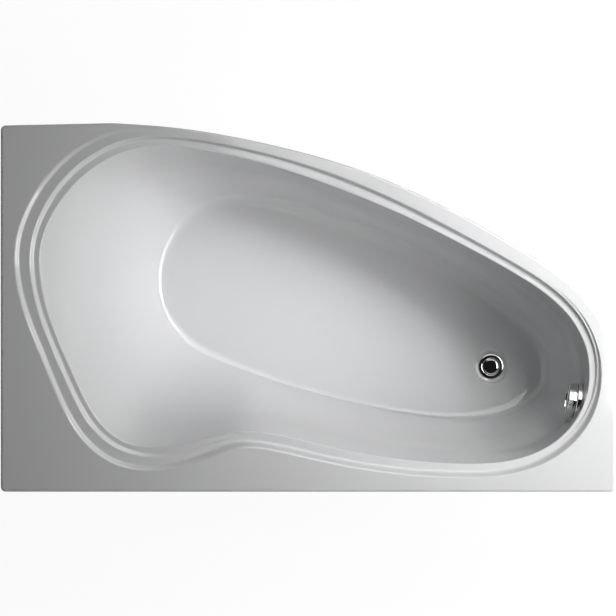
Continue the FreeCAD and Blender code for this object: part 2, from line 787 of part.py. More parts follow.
def bar_screws():
    """Pan-head screws up through the bars into the board."""
    screws = []
    head_end = WEB_UNDERSIDE - SCREW_HEAD_HEIGHT
    for x, y in screw_places():
        head = cylinder(SCREW_HEAD_RADIUS, head_end, WEB_UNDERSIDE, x, y)
        shank = cylinder(SCREW_RADIUS, WEB_UNDERSIDE, WEB_UNDERSIDE + SCREW_LENGTH, x, y)
        slot = cylinder(SCREW_SLOT_RADIUS, head_end, head_end + SCREW_SLOT_DEPTH, x, y)
        screws.append(head.fuse(shank).cut(slot))
    return Part.makeCompound(screws)


def foot_rod(place):
    """The threaded rod of one foot, standing in its pad and passing through the bar."""
    return cylinder(ROD_RADIUS, PAD_HEIGHT - PAD_SOCKET_DEPTH, BAR_TOP + ROD_TOP_MARGIN, *place)


def foot_pad(place):
    """A plastic pad with a lip on the floor and a socket for the rod."""
    pad = revolved([
        (0, 0),
        (PAD_RADIUS, 0),
        (PAD_RADIUS, PAD_LIP),
        (PAD_TOP_RADIUS, PAD_HEIGHT - PAD_LIP),
        (PAD_TOP_RADIUS, PAD_HEIGHT),
        (ROD_RADIUS + FIT_GAP, PAD_HEIGHT),
        (ROD_RADIUS + FIT_GAP, PAD_HEIGHT - PAD_SOCKET_DEPTH),
        (0, PAD_HEIGHT - PAD_SOCKET_DEPTH),
    ])
    pad.translate(vec(place[0], place[1], 0))
    return pad


def foot_washers():
    """A washer under and over the bar at each foot."""
    bore = ROD_RADIUS + ROD_HOLE_CLEARANCE
    washers = []
    for place in foot_places():
        washers.append(tube(WASHER_RADIUS, bore, WEB_UNDERSIDE - WASHER_THICKNESS, WEB_UNDERSIDE, *place))
        washers.append(tube(WASHER_RADIUS, bore, BAR_TOP, BAR_TOP + WASHER_THICKNESS, *place))
    return Part.makeCompound(washers)


def foot_nuts():
    """Two nuts at each foot that clamp the bar between the washers."""
    nuts = []
    lower = WEB_UNDERSIDE - WASHER_THICKNESS - NUT_HEIGHT
    upper = BAR_TOP + WASHER_THICKNESS
    for place in foot_places():
        for low in (lower, upper):
            bore = cylinder(ROD_RADIUS + ROD_CLEARANCE, low, low + NUT_HEIGHT, *place)
            nuts.append(hexagon(NUT_ACROSS_FLATS, low, low + NUT_HEIGHT, *place).cut(bore))
    return Part.makeCompound(nuts)


# Waste and its plug

CREST = SEAT + FLANGE_THICKNESS
PLUG_SEAT = CREST - FLANGE_POCKET_DEPTH
CAP_UNDERSIDE = PLUG_SEAT + PART_GAP + PLUG_SEAL_THICKNESS
BOSS_END = CAP_UNDERSIDE - CAP_BOSS_LENGTH
STEM_TOP = BOSS_END + STEM_ENGAGEMENT
STEM_END = STEM_TOP - STEM_LENGTH
HUB_TOP = BOSS_END - HUB_CLEARANCE
COLLAR_TOP = DISH_UNDERSIDE - UNDER_SEAL_THICKNESS
PIPE_BORE = PIPE_RADIUS - PIPE_WALL


def waste_seal_upper():
    bore = FLANGE_TUBE_RADIUS + PART_GAP
    return at_waste(tube(FLANGE_RADIUS - SEAL_SETBACK, bore, DISH, SEAT))


def waste_flange():
    """Chromed waste with a pocket for the plug and a spider that guides the plug's stem."""
    crest = FLANGE_RADIUS - FLANGE_CREST_INSET
    flange = revolved([
        (FLANGE_BORE_RADIUS, FLANGE_END),
        (FLANGE_TUBE_RADIUS, FLANGE_END),
        (FLANGE_TUBE_RADIUS, SEAT),
        (FLANGE_RADIUS, SEAT),
        (FLANGE_RADIUS, SEAT + FLANGE_EDGE),
        (crest, CREST),
        (crest - FLANGE_CREST_WIDTH, CREST),
        (FLANGE_POCKET_RADIUS, CREST - FLANGE_EDGE),
        (FLANGE_POCKET_RADIUS, PLUG_SEAT),
        (FLANGE_BORE_RADIUS, PLUG_SEAT),
    ])
    reach = (FLANGE_BORE_RADIUS + FLANGE_TUBE_RADIUS) / 2
    half = SPOKE_WIDTH / 2
    for step in range(SPOKES):
        spoke = box(0, reach, -half, half, HUB_TOP - SPOKE_HEIGHT, HUB_TOP)
        spoke.rotate(vec(0, 0, 0), vec(0, 0, 1), step * FULL_TURN / SPOKES)
        flange = flange.fuse(spoke)
    low = HUB_TOP - HUB_HEIGHT
    flange = flange.fuse(cylinder(HUB_RADIUS, low, HUB_TOP))
    return at_waste(flange.cut(cylinder(STEM_RADIUS + RUNNING_CLEARANCE, low - OVERRUN, HUB_TOP + OVERRUN)))


def plug_cap():
    """Domed cap with a boss below it that holds the stem."""
    cap = revolved([
        (0, STEM_TOP),
        (STEM_RADIUS + FIT_GAP, STEM_TOP),
        (STEM_RADIUS + FIT_GAP, BOSS_END),
        (CAP_BOSS_RADIUS, BOSS_END),
        (CAP_BOSS_RADIUS, CAP_UNDERSIDE),
        (CAP_RADIUS, CAP_UNDERSIDE),
        (CAP_RADIUS, CAP_UNDERSIDE + CAP_EDGE / 2),
        (CAP_RADIUS - CAP_EDGE / 2, CAP_UNDERSIDE + CAP_EDGE),
        (CAP_RADIUS / 2, CAP_UNDERSIDE + CAP_EDGE + CAP_CROWN * 0.8),
        (0, CAP_UNDERSIDE + CAP_EDGE + CAP_CROWN),
    ])
    return at_waste(cap)


def plug_seal():
    bore = CAP_BOSS_RADIUS + FIT_GAP
    return at_waste(tube(CAP_RADIUS - PART_GAP, bore, CAP_UNDERSIDE - PLUG_SEAL_THICKNESS, CAP_UNDERSIDE))


def plug_stem():
    return at_waste(cylinder(STEM_RADIUS, STEM_END, STEM_TOP))


def waste_seal_lower():
    return at_waste(tube(WASTE_COLLAR_RADIUS, WASTE_HOLE_RADIUS, COLLAR_TOP, DISH_UNDERSIDE))


# Linkage between the overflow's knob and the plug

LEVER_HEIGHT = STEM_END - PART_GAP - LEVER_TIP_RADIUS
PUSHER_HEIGHT = LEVER_HEIGHT - LEVER_DROP
PUSHER_TIP = LEVER_REACH + LEVER_TIP_RADIUS + PART_GAP
GLAND_START = CHAMBER_RADIUS + CHAMBER_WALL / 2
GLAND_END = CHAMBER_RADIUS + CHAMBER_WALL + GLAND_LENGTH
SIDE_SPIGOT_HEIGHT = COLLAR_TOP - SIDE_SPIGOT_DROP + UNDER_SEAL_THICKNESS


def at_lever(shape):
    """Moves a piece built with X towards the cable's gland to the waste."""
    shape = shape.copy()
    shape.rotate(vec(0, 0, 0), vec(0, 0, 1), LEVER_TURN)
    return at_waste(shape)


def along_x(radius, start, end, y, z):
    return Part.makeCylinder(radius, end - start, vec(start, y, z), vec(1, 0, 0))


def along_y(radius, half_length, x, z):
    return Part.makeCylinder(radius, half_length + half_length, vec(x, -half_length, z), vec(0, 1, 0))


def lift_lever():
    """Bell crank: its lower arm is pushed by the cable and its upper arm raises the stem."""
    half = LEVER_WIDTH / 2
    thick = LEVER_ARM / 2
    foot = LEVER_HEIGHT - LEVER_DROP
    lever = along_y(LEVER_HUB_RADIUS, half, LEVER_REACH, LEVER_HEIGHT)
    lever = lever.fuse(box(0, LEVER_REACH, -half, half, LEVER_HEIGHT - thick, LEVER_HEIGHT + thick))
    lever = lever.fuse(box(LEVER_REACH - thick, LEVER_REACH + thick, -half, half, foot, LEVER_HEIGHT))
    lever = lever.fuse(along_y(LEVER_TIP_RADIUS, half, 0, LEVER_HEIGHT))
    lever = lever.fuse(along_y(LEVER_TIP_RADIUS, half, LEVER_REACH, foot))
    bore = along_y(LEVER_PIN_RADIUS + RUNNING_CLEARANCE, LEVER_WIDTH, LEVER_REACH, LEVER_HEIGHT)
    return at_lever(lever.cut(bore))


def lever_pin():
    return at_lever(along_y(LEVER_PIN_RADIUS, LEVER_PIN_LENGTH / 2, LEVER_REACH, LEVER_HEIGHT))


def lift_pusher():
    """The cable's end piece, which slides in the gland and pushes the lever."""
    return at_lever(along_x(PUSHER_RADIUS, PUSHER_TIP, PUSHER_TIP + PUSHER_LENGTH, 0, PUSHER_HEIGHT))


def waste_body():
    """Drain body under the floor, with a side inlet for the overflow hose and a cable gland."""
    outer = CHAMBER_RADIUS + CHAMBER_WALL
    body = revolved([
        (0, SPIGOT_END),
        (PIPE_RADIUS, SPIGOT_END),
        (PIPE_RADIUS, TAPER_END),
        (outer, CHAMBER_END),
        (outer, COLLAR_TOP - WASTE_COLLAR_HEIGHT),
        (WASTE_COLLAR_RADIUS, COLLAR_TOP - WASTE_COLLAR_HEIGHT),
        (WASTE_COLLAR_RADIUS, COLLAR_TOP),
        (0, COLLAR_TOP),
    ])
    inlet = along_x(SIDE_SPIGOT_RADIUS, GLAND_START, outer + SIDE_SPIGOT_LENGTH, 0, SIDE_SPIGOT_HEIGHT)
    inlet_bore = along_x(SIDE_SPIGOT_BORE, 0, outer + SIDE_SPIGOT_LENGTH + OVERRUN, 0, SIDE_SPIGOT_HEIGHT)
    gland = along_x(GLAND_RADIUS, GLAND_START, GLAND_END, 0, PUSHER_HEIGHT)
    gland_bore = along_x(PUSHER_RADIUS + RUNNING_CLEARANCE, 0, GLAND_END, 0, PUSHER_HEIGHT)
    socket = along_x(CABLE_RADIUS + FIT_GAP, GLAND_END - GLAND_STOP, GLAND_END + OVERRUN, 0, PUSHER_HEIGHT)
    pin_hole = along_y(LEVER_PIN_RADIUS + FIT_GAP, LEVER_PIN_LENGTH / 2, LEVER_REACH, LEVER_HEIGHT)
    for piece in (inlet, inlet_bore):
        piece.rotate(vec(0, 0, 0), vec(0, 0, 1), HOSE_TURN)
    for piece in (gland, gland_bore, socket, pin_hole):
        piece.rotate(vec(0, 0, 0), vec(0, 0, 1), LEVER_TURN)
    inside = revolved([
        (0, SPIGOT_END),
        (PIPE_BORE, SPIGOT_END),
        (PIPE_BORE, TAPER_END),
        (CHAMBER_RADIUS, CHAMBER_END),
        (CHAMBER_RADIUS, FLANGE_END),
        (FLANGE_TUBE_RADIUS + FIT_GAP, FLANGE_END),
        (FLANGE_TUBE_RADIUS + FIT_GAP, COLLAR_TOP),
        (0, COLLAR_TOP),
    ])
    body = body.fuse(inlet).fuse(gland)
    return at_waste(body.cut(inside).cut(inlet_bore).cut(gland_bore).cut(socket).cut(pin_hole))


# Overflow. Its pieces are built about Z, which points into the basin, with X up; the flat seat on
# the shell's wall is at zero, and what lies behind the wall is below zero.

ROSETTE_FRONT = SEAL_THICKNESS + ROSETTE_HEIGHT
ROSETTE_PLATE_BACK = ROSETTE_FRONT - ROSETTE_PLATE
KNOB_BACK = ROSETTE_FRONT + KNOB_GAP
KNOB_FRONT = KNOB_BACK + KNOB_HEIGHT
KNOB_PLATE = KNOB_FRONT - KNOB_GRIP_DEPTH - KNOB_WALL
BODY_FRONT = -SHELL - BODY_GASKET
BODY_BACK = BODY_FRONT - BODY_DEPTH
BODY_INSIDE = BODY_BACK + BODY_WALL
BODY_BORE = BODY_RADIUS - BODY_WALL
ECCENTRIC_SHIFT = ECCENTRIC_REACH / math.sqrt(2)
ECCENTRIC_LOW = BODY_FRONT - ECCENTRIC_DEPTH
YOKE_TRAVEL = ECCENTRIC_SHIFT + ECCENTRIC_SHIFT
YOKE_LOW = ECCENTRIC_SHIFT - ECCENTRIC_RADIUS - PART_GAP - YOKE_BAR
TAIL_Y = -ECCENTRIC_REACH - ECCENTRIC_RADIUS - YOKE_SIDE_GAP - YOKE_BAR / 2
TAIL_Z = ECCENTRIC_LOW + ECCENTRIC_WIDTH / 2
BODY_GLAND_END = -BODY_RADIUS - GLAND_LENGTH
HOSE_Z = BODY_FRONT - HOSE_DEPTH
HOSE_BORE = SIDE_SPIGOT_RADIUS + FIT_GAP
HOSE_RADIUS = HOSE_BORE + HOSE_WALL
BODY_SPIGOT_END = -BODY_RADIUS - SIDE_SPIGOT_LENGTH


def overflow_place(x, y, z):
    """A point of the overflow's own frame, in the tub's frame."""
    across = vec(0, 0, 1).cross(OVERFLOW_AXIS) * -1
    return OVERFLOW_POINT + vec(0, 0, x) + across * y + OVERFLOW_AXIS * z


HOSE_TOP = overflow_place(BODY_SPIGOT_END + HOSE_OVERLAP, HOSE_OFFSET, HOSE_Z)
HOSE_WAY = unit(vec(HOSE_TOP.x - WASTE_X, HOSE_TOP.y - WASTE_Y, 0))
HOSE_TURN = math.degrees(math.atan2(HOSE_WAY.y, HOSE_WAY.x))


def overflow_seal_front():
    low = OVERFLOW_HOLE_RADIUS + PART_GAP
    return on_wall(tube(ROSETTE_RADIUS - SEAL_SETBACK, low, 0, SEAL_THICKNESS))


def overflow_rosette():
    """Chromed cover on the wall with the water inlets and the knob's front bearing."""
    cover = cylinder(ROSETTE_RADIUS, SEAL_THICKNESS, ROSETTE_FRONT)
    room = tube(ROSETTE_RADIUS - ROSETTE_WALL, ROSETTE_HUB_RADIUS, SEAL_THICKNESS, ROSETTE_PLATE_BACK)
    cover = cover.cut(room).cut(cylinder(SPINDLE_RADIUS + RUNNING_CLEARANCE, 0, KNOB_FRONT))
    for step in range(INLET_HOLES):
        angle = math.radians(step * FULL_TURN / INLET_HOLES)
        x = INLET_HOLE_CIRCLE * math.cos(angle)
        y = INLET_HOLE_CIRCLE * math.sin(angle)
        cover = cover.cut(cylinder(INLET_HOLE_RADIUS, 0, KNOB_FRONT, x, y))
    for y in (-FIXING_CIRCLE, FIXING_CIRCLE):
        cover = cover.cut(cylinder(FIXING_RADIUS + SCREW_CLEARANCE, 0, KNOB_FRONT, 0, y))
    return on_wall(cover)


def overflow_knob():
    """Chromed turning knob with fine grooves round its front and a grip bar across its face."""
    knob = revolved([
        (0, KNOB_BACK),
        (KNOB_RADIUS, KNOB_BACK),
        (KNOB_RADIUS, KNOB_FRONT - KNOB_EDGE),
        (KNOB_RADIUS - KNOB_EDGE, KNOB_FRONT),
        (0, KNOB_FRONT),
    ])
    knob = knob.cut(tube(KNOB_RADIUS - KNOB_WALL, KNOB_HUB_RADIUS, KNOB_BACK, KNOB_PLATE))
    for step in range(KNOB_GROOVES):
        high = KNOB_FRONT - KNOB_GROOVE_SETBACK - step * KNOB_GROOVE_PITCH
        low = high - KNOB_GROOVE_WIDTH
        knob = knob.cut(tube(KNOB_RADIUS + OVERRUN, KNOB_RADIUS - KNOB_GROOVE_DEPTH, low, high))
    half = KNOB_GRIP_WIDTH / 2
    recess = cylinder(KNOB_RADIUS - KNOB_GRIP_MARGIN, KNOB_FRONT - KNOB_GRIP_DEPTH, KNOB_FRONT)
    recess = recess.cut(box(-half, half, -KNOB_RADIUS, KNOB_RADIUS, 0, KNOB_FRONT))
    return on_wall(knob.cut(recess).cut(cylinder(SPINDLE_RADIUS + FIT_GAP, KNOB_BACK, KNOB_BACK + SPINDLE_ENGAGEMENT)))


def overflow_spindle():
    """The knob's spindle with the eccentric that drives the yoke."""
    spindle = cylinder(SPINDLE_RADIUS, BODY_INSIDE + PART_GAP, KNOB_BACK + SPINDLE_ENGAGEMENT)
    high = ECCENTRIC_LOW + ECCENTRIC_WIDTH
    eccentric = cylinder(ECCENTRIC_RADIUS, ECCENTRIC_LOW, high, ECCENTRIC_SHIFT, -ECCENTRIC_SHIFT)
    return on_wall(spindle.fuse(eccentric))


def lift_yoke():
    """A slotted plate round the eccentric, with a tail that pushes the cable's wire."""
    low = YOKE_LOW
    high = ECCENTRIC_SHIFT + ECCENTRIC_RADIUS + PART_GAP + YOKE_BAR
    left = TAIL_Y - YOKE_BAR / 2
    right = ECCENTRIC_RADIUS - ECCENTRIC_SHIFT + YOKE_SIDE_GAP + YOKE_BAR
    top = ECCENTRIC_LOW + ECCENTRIC_WIDTH
    plate = box(low, high, left, right, ECCENTRIC_LOW, top)
    window = box(
        low + YOKE_BAR, high - YOKE_BAR, left + YOKE_BAR, right - YOKE_BAR,
        ECCENTRIC_LOW - OVERRUN, top + OVERRUN
    )
    tail = along_x(PUSHER_RADIUS, low - YOKE_TAIL, low, TAIL_Y, TAIL_Z)
    return on_wall(plate.cut(window).fuse(tail))


def overflow_seal_back():
    return on_wall(tube(BODY_FLANGE_RADIUS, OVERFLOW_HOLE_RADIUS, BODY_FRONT, -SHELL))


def overflow_body():
    """Plastic body behind the wall, with its bearing, screw bosses, hose spigot and cable gland."""
    body = cylinder(BODY_RADIUS, BODY_BACK, BODY_FRONT)
    body = body.fuse(cylinder(BODY_FLANGE_RADIUS, BODY_FRONT - BODY_FLANGE_THICKNESS, BODY_FRONT))
    body = body.fuse(along_x(SIDE_SPIGOT_RADIUS, BODY_SPIGOT_END, 0, HOSE_OFFSET, HOSE_Z))
    body = body.fuse(along_x(GLAND_RADIUS, BODY_GLAND_END, 0, TAIL_Y, TAIL_Z))
    body = body.cut(cylinder(BODY_BORE, BODY_INSIDE, BODY_FRONT))
    body = body.cut(along_x(SIDE_SPIGOT_BORE, BODY_SPIGOT_END, 0, HOSE_OFFSET, HOSE_Z))
    body = body.cut(along_x(PUSHER_RADIUS + RUNNING_CLEARANCE, BODY_GLAND_END, 0, TAIL_Y, TAIL_Z))
    stop = BODY_GLAND_END + GLAND_STOP
    body = body.cut(along_x(CABLE_RADIUS + FIT_GAP, BODY_GLAND_END, stop, TAIL_Y, TAIL_Z))
    bearing_high = BODY_INSIDE + BEARING_LENGTH
    bearing = tube(BEARING_RADIUS, SPINDLE_RADIUS + RUNNING_CLEARANCE, BODY_INSIDE, bearing_high)
    body = body.fuse(bearing)
    inside = cylinder((BODY_BORE + BODY_RADIUS) / 2, BODY_INSIDE, BODY_FRONT)
    for y in (-FIXING_CIRCLE, FIXING_CIRCLE):
        boss_end = BODY_FRONT - FIXING_BOSS_LENGTH
        boss = cylinder(FIXING_BOSS_RADIUS, boss_end, BODY_FRONT, 0, y).common(inside)
        hole = cylinder(FIXING_RADIUS + FIT_GAP, boss_end - OVERRUN, BODY_FRONT, 0, y)
        body = body.fuse(boss).cut(hole.common(cylinder(BODY_BORE, boss_end, BODY_FRONT)))
    return on_wall(body)


def overflow_screws():
    """Two screws through the rosette into the body's bosses."""
    screws = []
    for y in (-FIXING_CIRCLE, FIXING_CIRCLE):
        head_end = ROSETTE_FRONT + FIXING_HEAD_HEIGHT
        head = cylinder(FIXING_HEAD_RADIUS, ROSETTE_FRONT, head_end, 0, y)
        shank = cylinder(FIXING_RADIUS, ROSETTE_FRONT - FIXING_LENGTH, ROSETTE_FRONT, 0, y)
        slot = cylinder(SCREW_SLOT_RADIUS, head_end - SCREW_SLOT_DEPTH, head_end, 0, y)
        screws.append(head.fuse(shank).cut(slot))
    return on_wall(Part.makeCompound(screws))


# Hose and cable between the overflow and the waste

HOSE_END_REACH = CHAMBER_RADIUS + CHAMBER_WALL + SIDE_SPIGOT_LENGTH - HOSE_OVERLAP
HOSE_END = vec(WASTE_X, WASTE_Y, SIDE_SPIGOT_HEIGHT) + HOSE_WAY * HOSE_END_REACH
HOSE_CORNER = vec(HOSE_TOP.x, HOSE_TOP.y, SIDE_SPIGOT_HEIGHT)
HOSE_NUT_RADIUS = HOSE_RADIUS + FIT_GAP + HOSE_NUT_WALL
CABLE_WAY = vec(math.cos(math.radians(LEVER_TURN)), math.sin(math.radians(LEVER_TURN)), 0)


def overflow_hose():
    """The hose from the overflow body down and under the floor to the waste body."""
    return pipe_along([HOSE_TOP, HOSE_CORNER, HOSE_END], HOSE_BEND, HOSE_RADIUS, HOSE_BORE)


def hose_nut(end, way):
    """A ring that grips the hose on its spigot."""
    start = end + way * HOSE_NUT_SETBACK
    outer = Part.makeCylinder(HOSE_NUT_RADIUS, HOSE_NUT_LENGTH, start, way)
    return outer.cut(Part.makeCylinder(HOSE_RADIUS + FIT_GAP, HOSE_NUT_LENGTH, start, way))


def cable_points():
    """The cable's route: straight out of both glands, with an even curve between."""
    top = overflow_place(BODY_GLAND_END + GLAND_STOP, TAIL_Y, TAIL_Z)
    end = vec(WASTE_X, WASTE_Y, PUSHER_HEIGHT) + CABLE_WAY * (GLAND_END - GLAND_STOP)
    first = top - vec(0, 0, CABLE_STUB)
    last = end + CABLE_WAY * CABLE_STUB
    first_handle = first - vec(0, 0, CABLE_TOP_REACH)
    last_handle = last + CABLE_WAY * CABLE_END_REACH
    points = [top]
    for step in range(CABLE_RUNS + 1):
        share = step / CABLE_RUNS
        left = 1 - share
        points.append(
            first * left ** 3 + first_handle * (3 * left ** 2 * share)
            + last_handle * (3 * left * share ** 2) + last * share ** 3
        )
    points.append(end)
    return points


def bowden_cable():
    points = cable_points()
    radii = []
    for before, corner, after in zip(points, points[1:], points[2:]):
        turn = (corner - before).getAngle(after - corner)
        shorter = min((corner - before).Length, (after - corner).Length)
        radii.append(CORD_ARC_SHARE * shorter / math.tan(turn / 2))
    print("cable arc radii", [round(radius) for radius in radii])
    return rod_along(points, radii, CABLE_RADIUS)


# Trap and outlet pipe

SOCKET_BORE = PIPE_RADIUS + FIT_GAP
SOCKET_RADIUS = SOCKET_BORE + SOCKET_WALL
PIPE_NUT_BORE = SOCKET_RADIUS + FIT_GAP
PIPE_NUT_RADIUS = PIPE_NUT_BORE + PIPE_NUT_WALL
TRAP_X = WASTE_X - TRAP_BEND - TRAP_BEND
OUTLET_HEIGHT = TRAP_LOW + PIPE_BORE + TRAP_SEAL_DEPTH + PIPE_BORE
ELBOW_END = WASTE_Y - ELBOW_BEND - ELBOW_RUN
OUTLET_END = OUTLET_WALL_GAP - WIDTH / 2


def placed_about(shape, x, y, z, way):
    """Moves a piece built up from the origin so that it starts at a point and runs along a way."""
    shape = shape.copy()
    shape.Placement = FreeCAD.Placement(vec(x, y, z), FreeCAD.Rotation(vec(0, 0, 1), way))
    return shape


def pipe_socket():
    """A slip socket that starts at the pipe's end and opens upwards."""
    return tube(SOCKET_RADIUS, SOCKET_BORE, 0, SOCKET_DEPTH)


def pipe_seal():
    return tube(SOCKET_RADIUS, SOCKET_BORE, SOCKET_DEPTH, SOCKET_DEPTH + PIPE_SEAL_LENGTH)


def pipe_nut():
    """A nut over a socket and its seal, with a lip that bears on the seal."""
    lip = SOCKET_DEPTH + PIPE_SEAL_LENGTH
    high = lip + PIPE_NUT_LIP
    nut = cylinder(PIPE_NUT_RADIUS, high - PIPE_NUT_LENGTH, high)
    nut = nut.cut(cylinder(PIPE_NUT_BORE, high - PIPE_NUT_LENGTH, lip))
    return nut.cut(cylinder(PIPE_RADIUS + PART_GAP, 0, high))


def trap_bend():
    """U-shaped bend of the trap with its two sockets and the neck of the cleaning opening."""
    top = vec(WASTE_X, WASTE_Y, SPIGOT_END)
    route = [
        top,
        vec(WASTE_X, WASTE_Y, TRAP_LOW),
        vec(TRAP_X, WASTE_Y, TRAP_LOW),
        vec(TRAP_X, WASTE_Y, TRAP_CENTRE),
    ]
    outer = rod_along(route, TRAP_BEND, PIPE_RADIUS)
    inner = rod_along(route, TRAP_BEND, PIPE_BORE)
    x = (WASTE_X + TRAP_X) / 2
    neck_length = PIPE_RADIUS + NECK_LENGTH
    neck = placed_about(cylinder(NECK_RADIUS, 0, neck_length), x, WASTE_Y, TRAP_LOW, vec(0, 1, 0))
    opening = placed_about(cylinder(NECK_RADIUS - NECK_WALL, 0, neck_length), x, WASTE_Y, TRAP_LOW, vec(0, 1, 0))
    up = vec(0, 0, 1)
    sockets = [
        placed_about(pipe_socket_start(), WASTE_X, WASTE_Y, SPIGOT_END, up),
        placed_about(pipe_socket_start(), TRAP_X, WASTE_Y, TRAP_CENTRE, up),
    ]
    return outer.fuse(neck).fuse(sockets).cut(inner).cut(opening)


def pipe_socket_start():
    """A slip socket with the collar that joins it to its pipe."""
    collar = tube(SOCKET_RADIUS, PIPE_RADIUS - PIPE_WALL / 2, -SOCKET_WALL, 0)
    return pipe_socket().fuse(collar)


def trap_elbow():
    """Elbow from the trap's rising leg to the level outlet."""
    route = [
        vec(TRAP_X, WASTE_Y, TRAP_CENTRE),
        vec(TRAP_X, WASTE_Y, OUTLET_HEIGHT),
        vec(TRAP_X, ELBOW_END, OUTLET_HEIGHT),
    ]
    outer = rod_along(route, ELBOW_BEND, PIPE_RADIUS)
    inner = rod_along(route, ELBOW_BEND, PIPE_BORE)
    socket = placed_about(pipe_socket_start(), TRAP_X, ELBOW_END, OUTLET_HEIGHT, vec(0, -1, 0))
    return outer.fuse(socket).cut(inner)


def outlet_pipe():
    """Outlet pipe with a bead that stops what is pushed over its free end."""
    bead_start = SOCKET_DEPTH + PIPE_SEAL_LENGTH + PIPE_NUT_LIP + STOP_BEAD_GAP
    pipe = cylinder(PIPE_RADIUS, 0, ELBOW_END - OUTLET_END)
    bead = cylinder(PIPE_RADIUS + STOP_BEAD_HEIGHT, bead_start, bead_start + STOP_BEAD_WIDTH)
    pipe = pipe.fuse(bead).cut(cylinder(PIPE_BORE, 0, ELBOW_END - OUTLET_END))
    return placed_about(pipe, TRAP_X, ELBOW_END, OUTLET_HEIGHT, vec(0, -1, 0))


def cleaning_pieces():
    """The cleaning opening's seal and its screw-in plug."""
    x = (WASTE_X + TRAP_X) / 2
    y = WASTE_Y + PIPE_RADIUS + NECK_LENGTH
    seal = tube(NECK_RADIUS, NECK_RADIUS - NECK_WALL, 0, CLEANING_SEAL)
    head_end = CLEANING_SEAL + CLEANING_HEAD_LENGTH
    plug = cylinder(CLEANING_HEAD_RADIUS, CLEANING_SEAL, head_end)
    spigot = NECK_RADIUS - NECK_WALL - FIT_GAP
    plug = plug.fuse(cylinder(spigot, -CLEANING_SPIGOT_LENGTH, CLEANING_SEAL))
    slot = cylinder(NECK_RADIUS - NECK_WALL, head_end - CLEANING_HEAD_LENGTH / 2, head_end)
    plug = plug.cut(slot)
    way = vec(0, 1, 0)
    return [placed_about(piece, x, y, TRAP_LOW, way) for piece in (seal, plug)]


def joint_at(piece, place):
    """A pipe joint's piece at the trap's inlet, its rising leg or the outlet."""
    up = vec(0, 0, 1)
    spots = {
        "inlet": (WASTE_X, WASTE_Y, SPIGOT_END, up),
        "swivel": (TRAP_X, WASTE_Y, TRAP_CENTRE, up),
        "outlet": (TRAP_X, ELBOW_END, OUTLET_HEIGHT, vec(0, -1, 0)),
    }
    return placed_about(piece, *spots[place])


def all_parts():
    """Every sub-part under its name."""
    cleaning_seal, cleaning_plug = cleaning_pieces()
    parts = {
        "tub_shell": tub_shell(),
        "laminate_backing": laminate_backing(),
        "base_board": base_board(),
        "rim_battens": rim_battens(),
        "leg_bar_head": leg_bar("head"),
        "leg_bar_foot": leg_bar("foot"),
        "bar_screws": bar_screws(),
        "foot_washers": foot_washers(),
        "foot_nuts": foot_nuts(),
        "waste_seal_upper": waste_seal_upper(),
        "waste_flange": waste_flange(),
        "plug_cap": plug_cap(),
        "plug_seal": plug_seal(),
        "plug_stem": plug_stem(),
        "waste_seal_lower": waste_seal_lower(),
        "waste_body": waste_body(),
        "lift_lever": lift_lever(),
        "lever_pin": lever_pin(),
        "lift_pusher": lift_pusher(),
        "overflow_seal_front": overflow_seal_front(),
        "overflow_rosette": overflow_rosette(),
        "overflow_knob": overflow_knob(),
        "overflow_spindle": overflow_spindle(),
        "lift_yoke": lift_yoke(),
        "overflow_seal_back": overflow_seal_back(),
        "overflow_body": overflow_body(),
        "overflow_screws": overflow_screws(),
        "overflow_hose": overflow_hose(),
        "hose_nut_top": hose_nut(HOSE_TOP, vec(0, 0, -1)),
        "hose_nut_bottom": hose_nut(HOSE_END, HOSE_WAY),
        "bowden_cable": bowden_cable(),
        "trap_bend": trap_bend(),
        "trap_elbow": trap_elbow(),
        "outlet_pipe": outlet_pipe(),
        "cleaning_seal": cleaning_seal,
        "cleaning_plug": cleaning_plug,
    }
    for place, stem in (("inlet", "trap_inlet"), ("swivel", "trap_swivel"), ("outlet", "outlet")):
        parts[stem + "_seal"] = joint_at(pipe_seal(), place)
        parts[stem + "_nut"] = joint_at(pipe_nut(), place)
    for number, place in enumerate(foot_places(), 1):
        parts["foot_rod_" + str(number)] = foot_rod(place)
        parts["foot_pad_" + str(number)] = foot_pad(place)
    return parts


if __name__ == "__main__":
    os.makedirs("parts", exist_ok=True)
    for name, shape in all_parts().items():
        shape.exportStep("parts/" + name + ".step")
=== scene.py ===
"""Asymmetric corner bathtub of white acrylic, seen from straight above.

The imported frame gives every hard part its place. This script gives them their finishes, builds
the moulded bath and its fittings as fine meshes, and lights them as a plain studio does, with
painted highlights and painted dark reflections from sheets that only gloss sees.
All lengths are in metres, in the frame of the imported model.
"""

import json
import logging
import math
from dataclasses import dataclass, field
from enum import Enum
from typing import Any, Iterable, Sequence

import bmesh
import bpy
import numpy as np
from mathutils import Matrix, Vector
from mathutils.geometry import delaunay_2d_cdt

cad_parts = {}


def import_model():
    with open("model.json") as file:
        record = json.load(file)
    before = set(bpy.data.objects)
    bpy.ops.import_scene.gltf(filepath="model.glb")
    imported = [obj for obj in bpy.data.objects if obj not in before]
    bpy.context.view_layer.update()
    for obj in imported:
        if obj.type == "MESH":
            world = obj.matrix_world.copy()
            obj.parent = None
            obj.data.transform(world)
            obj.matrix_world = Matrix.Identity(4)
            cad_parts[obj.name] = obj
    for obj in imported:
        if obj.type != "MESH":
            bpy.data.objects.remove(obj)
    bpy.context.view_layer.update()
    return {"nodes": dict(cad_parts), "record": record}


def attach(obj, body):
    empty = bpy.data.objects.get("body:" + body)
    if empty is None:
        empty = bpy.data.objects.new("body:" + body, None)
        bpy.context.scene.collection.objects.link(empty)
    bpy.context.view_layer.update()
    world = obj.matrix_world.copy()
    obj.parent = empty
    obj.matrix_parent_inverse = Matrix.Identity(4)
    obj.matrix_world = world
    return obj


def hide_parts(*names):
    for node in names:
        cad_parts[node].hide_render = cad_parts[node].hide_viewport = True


log = logging.getLogger("bathtub")

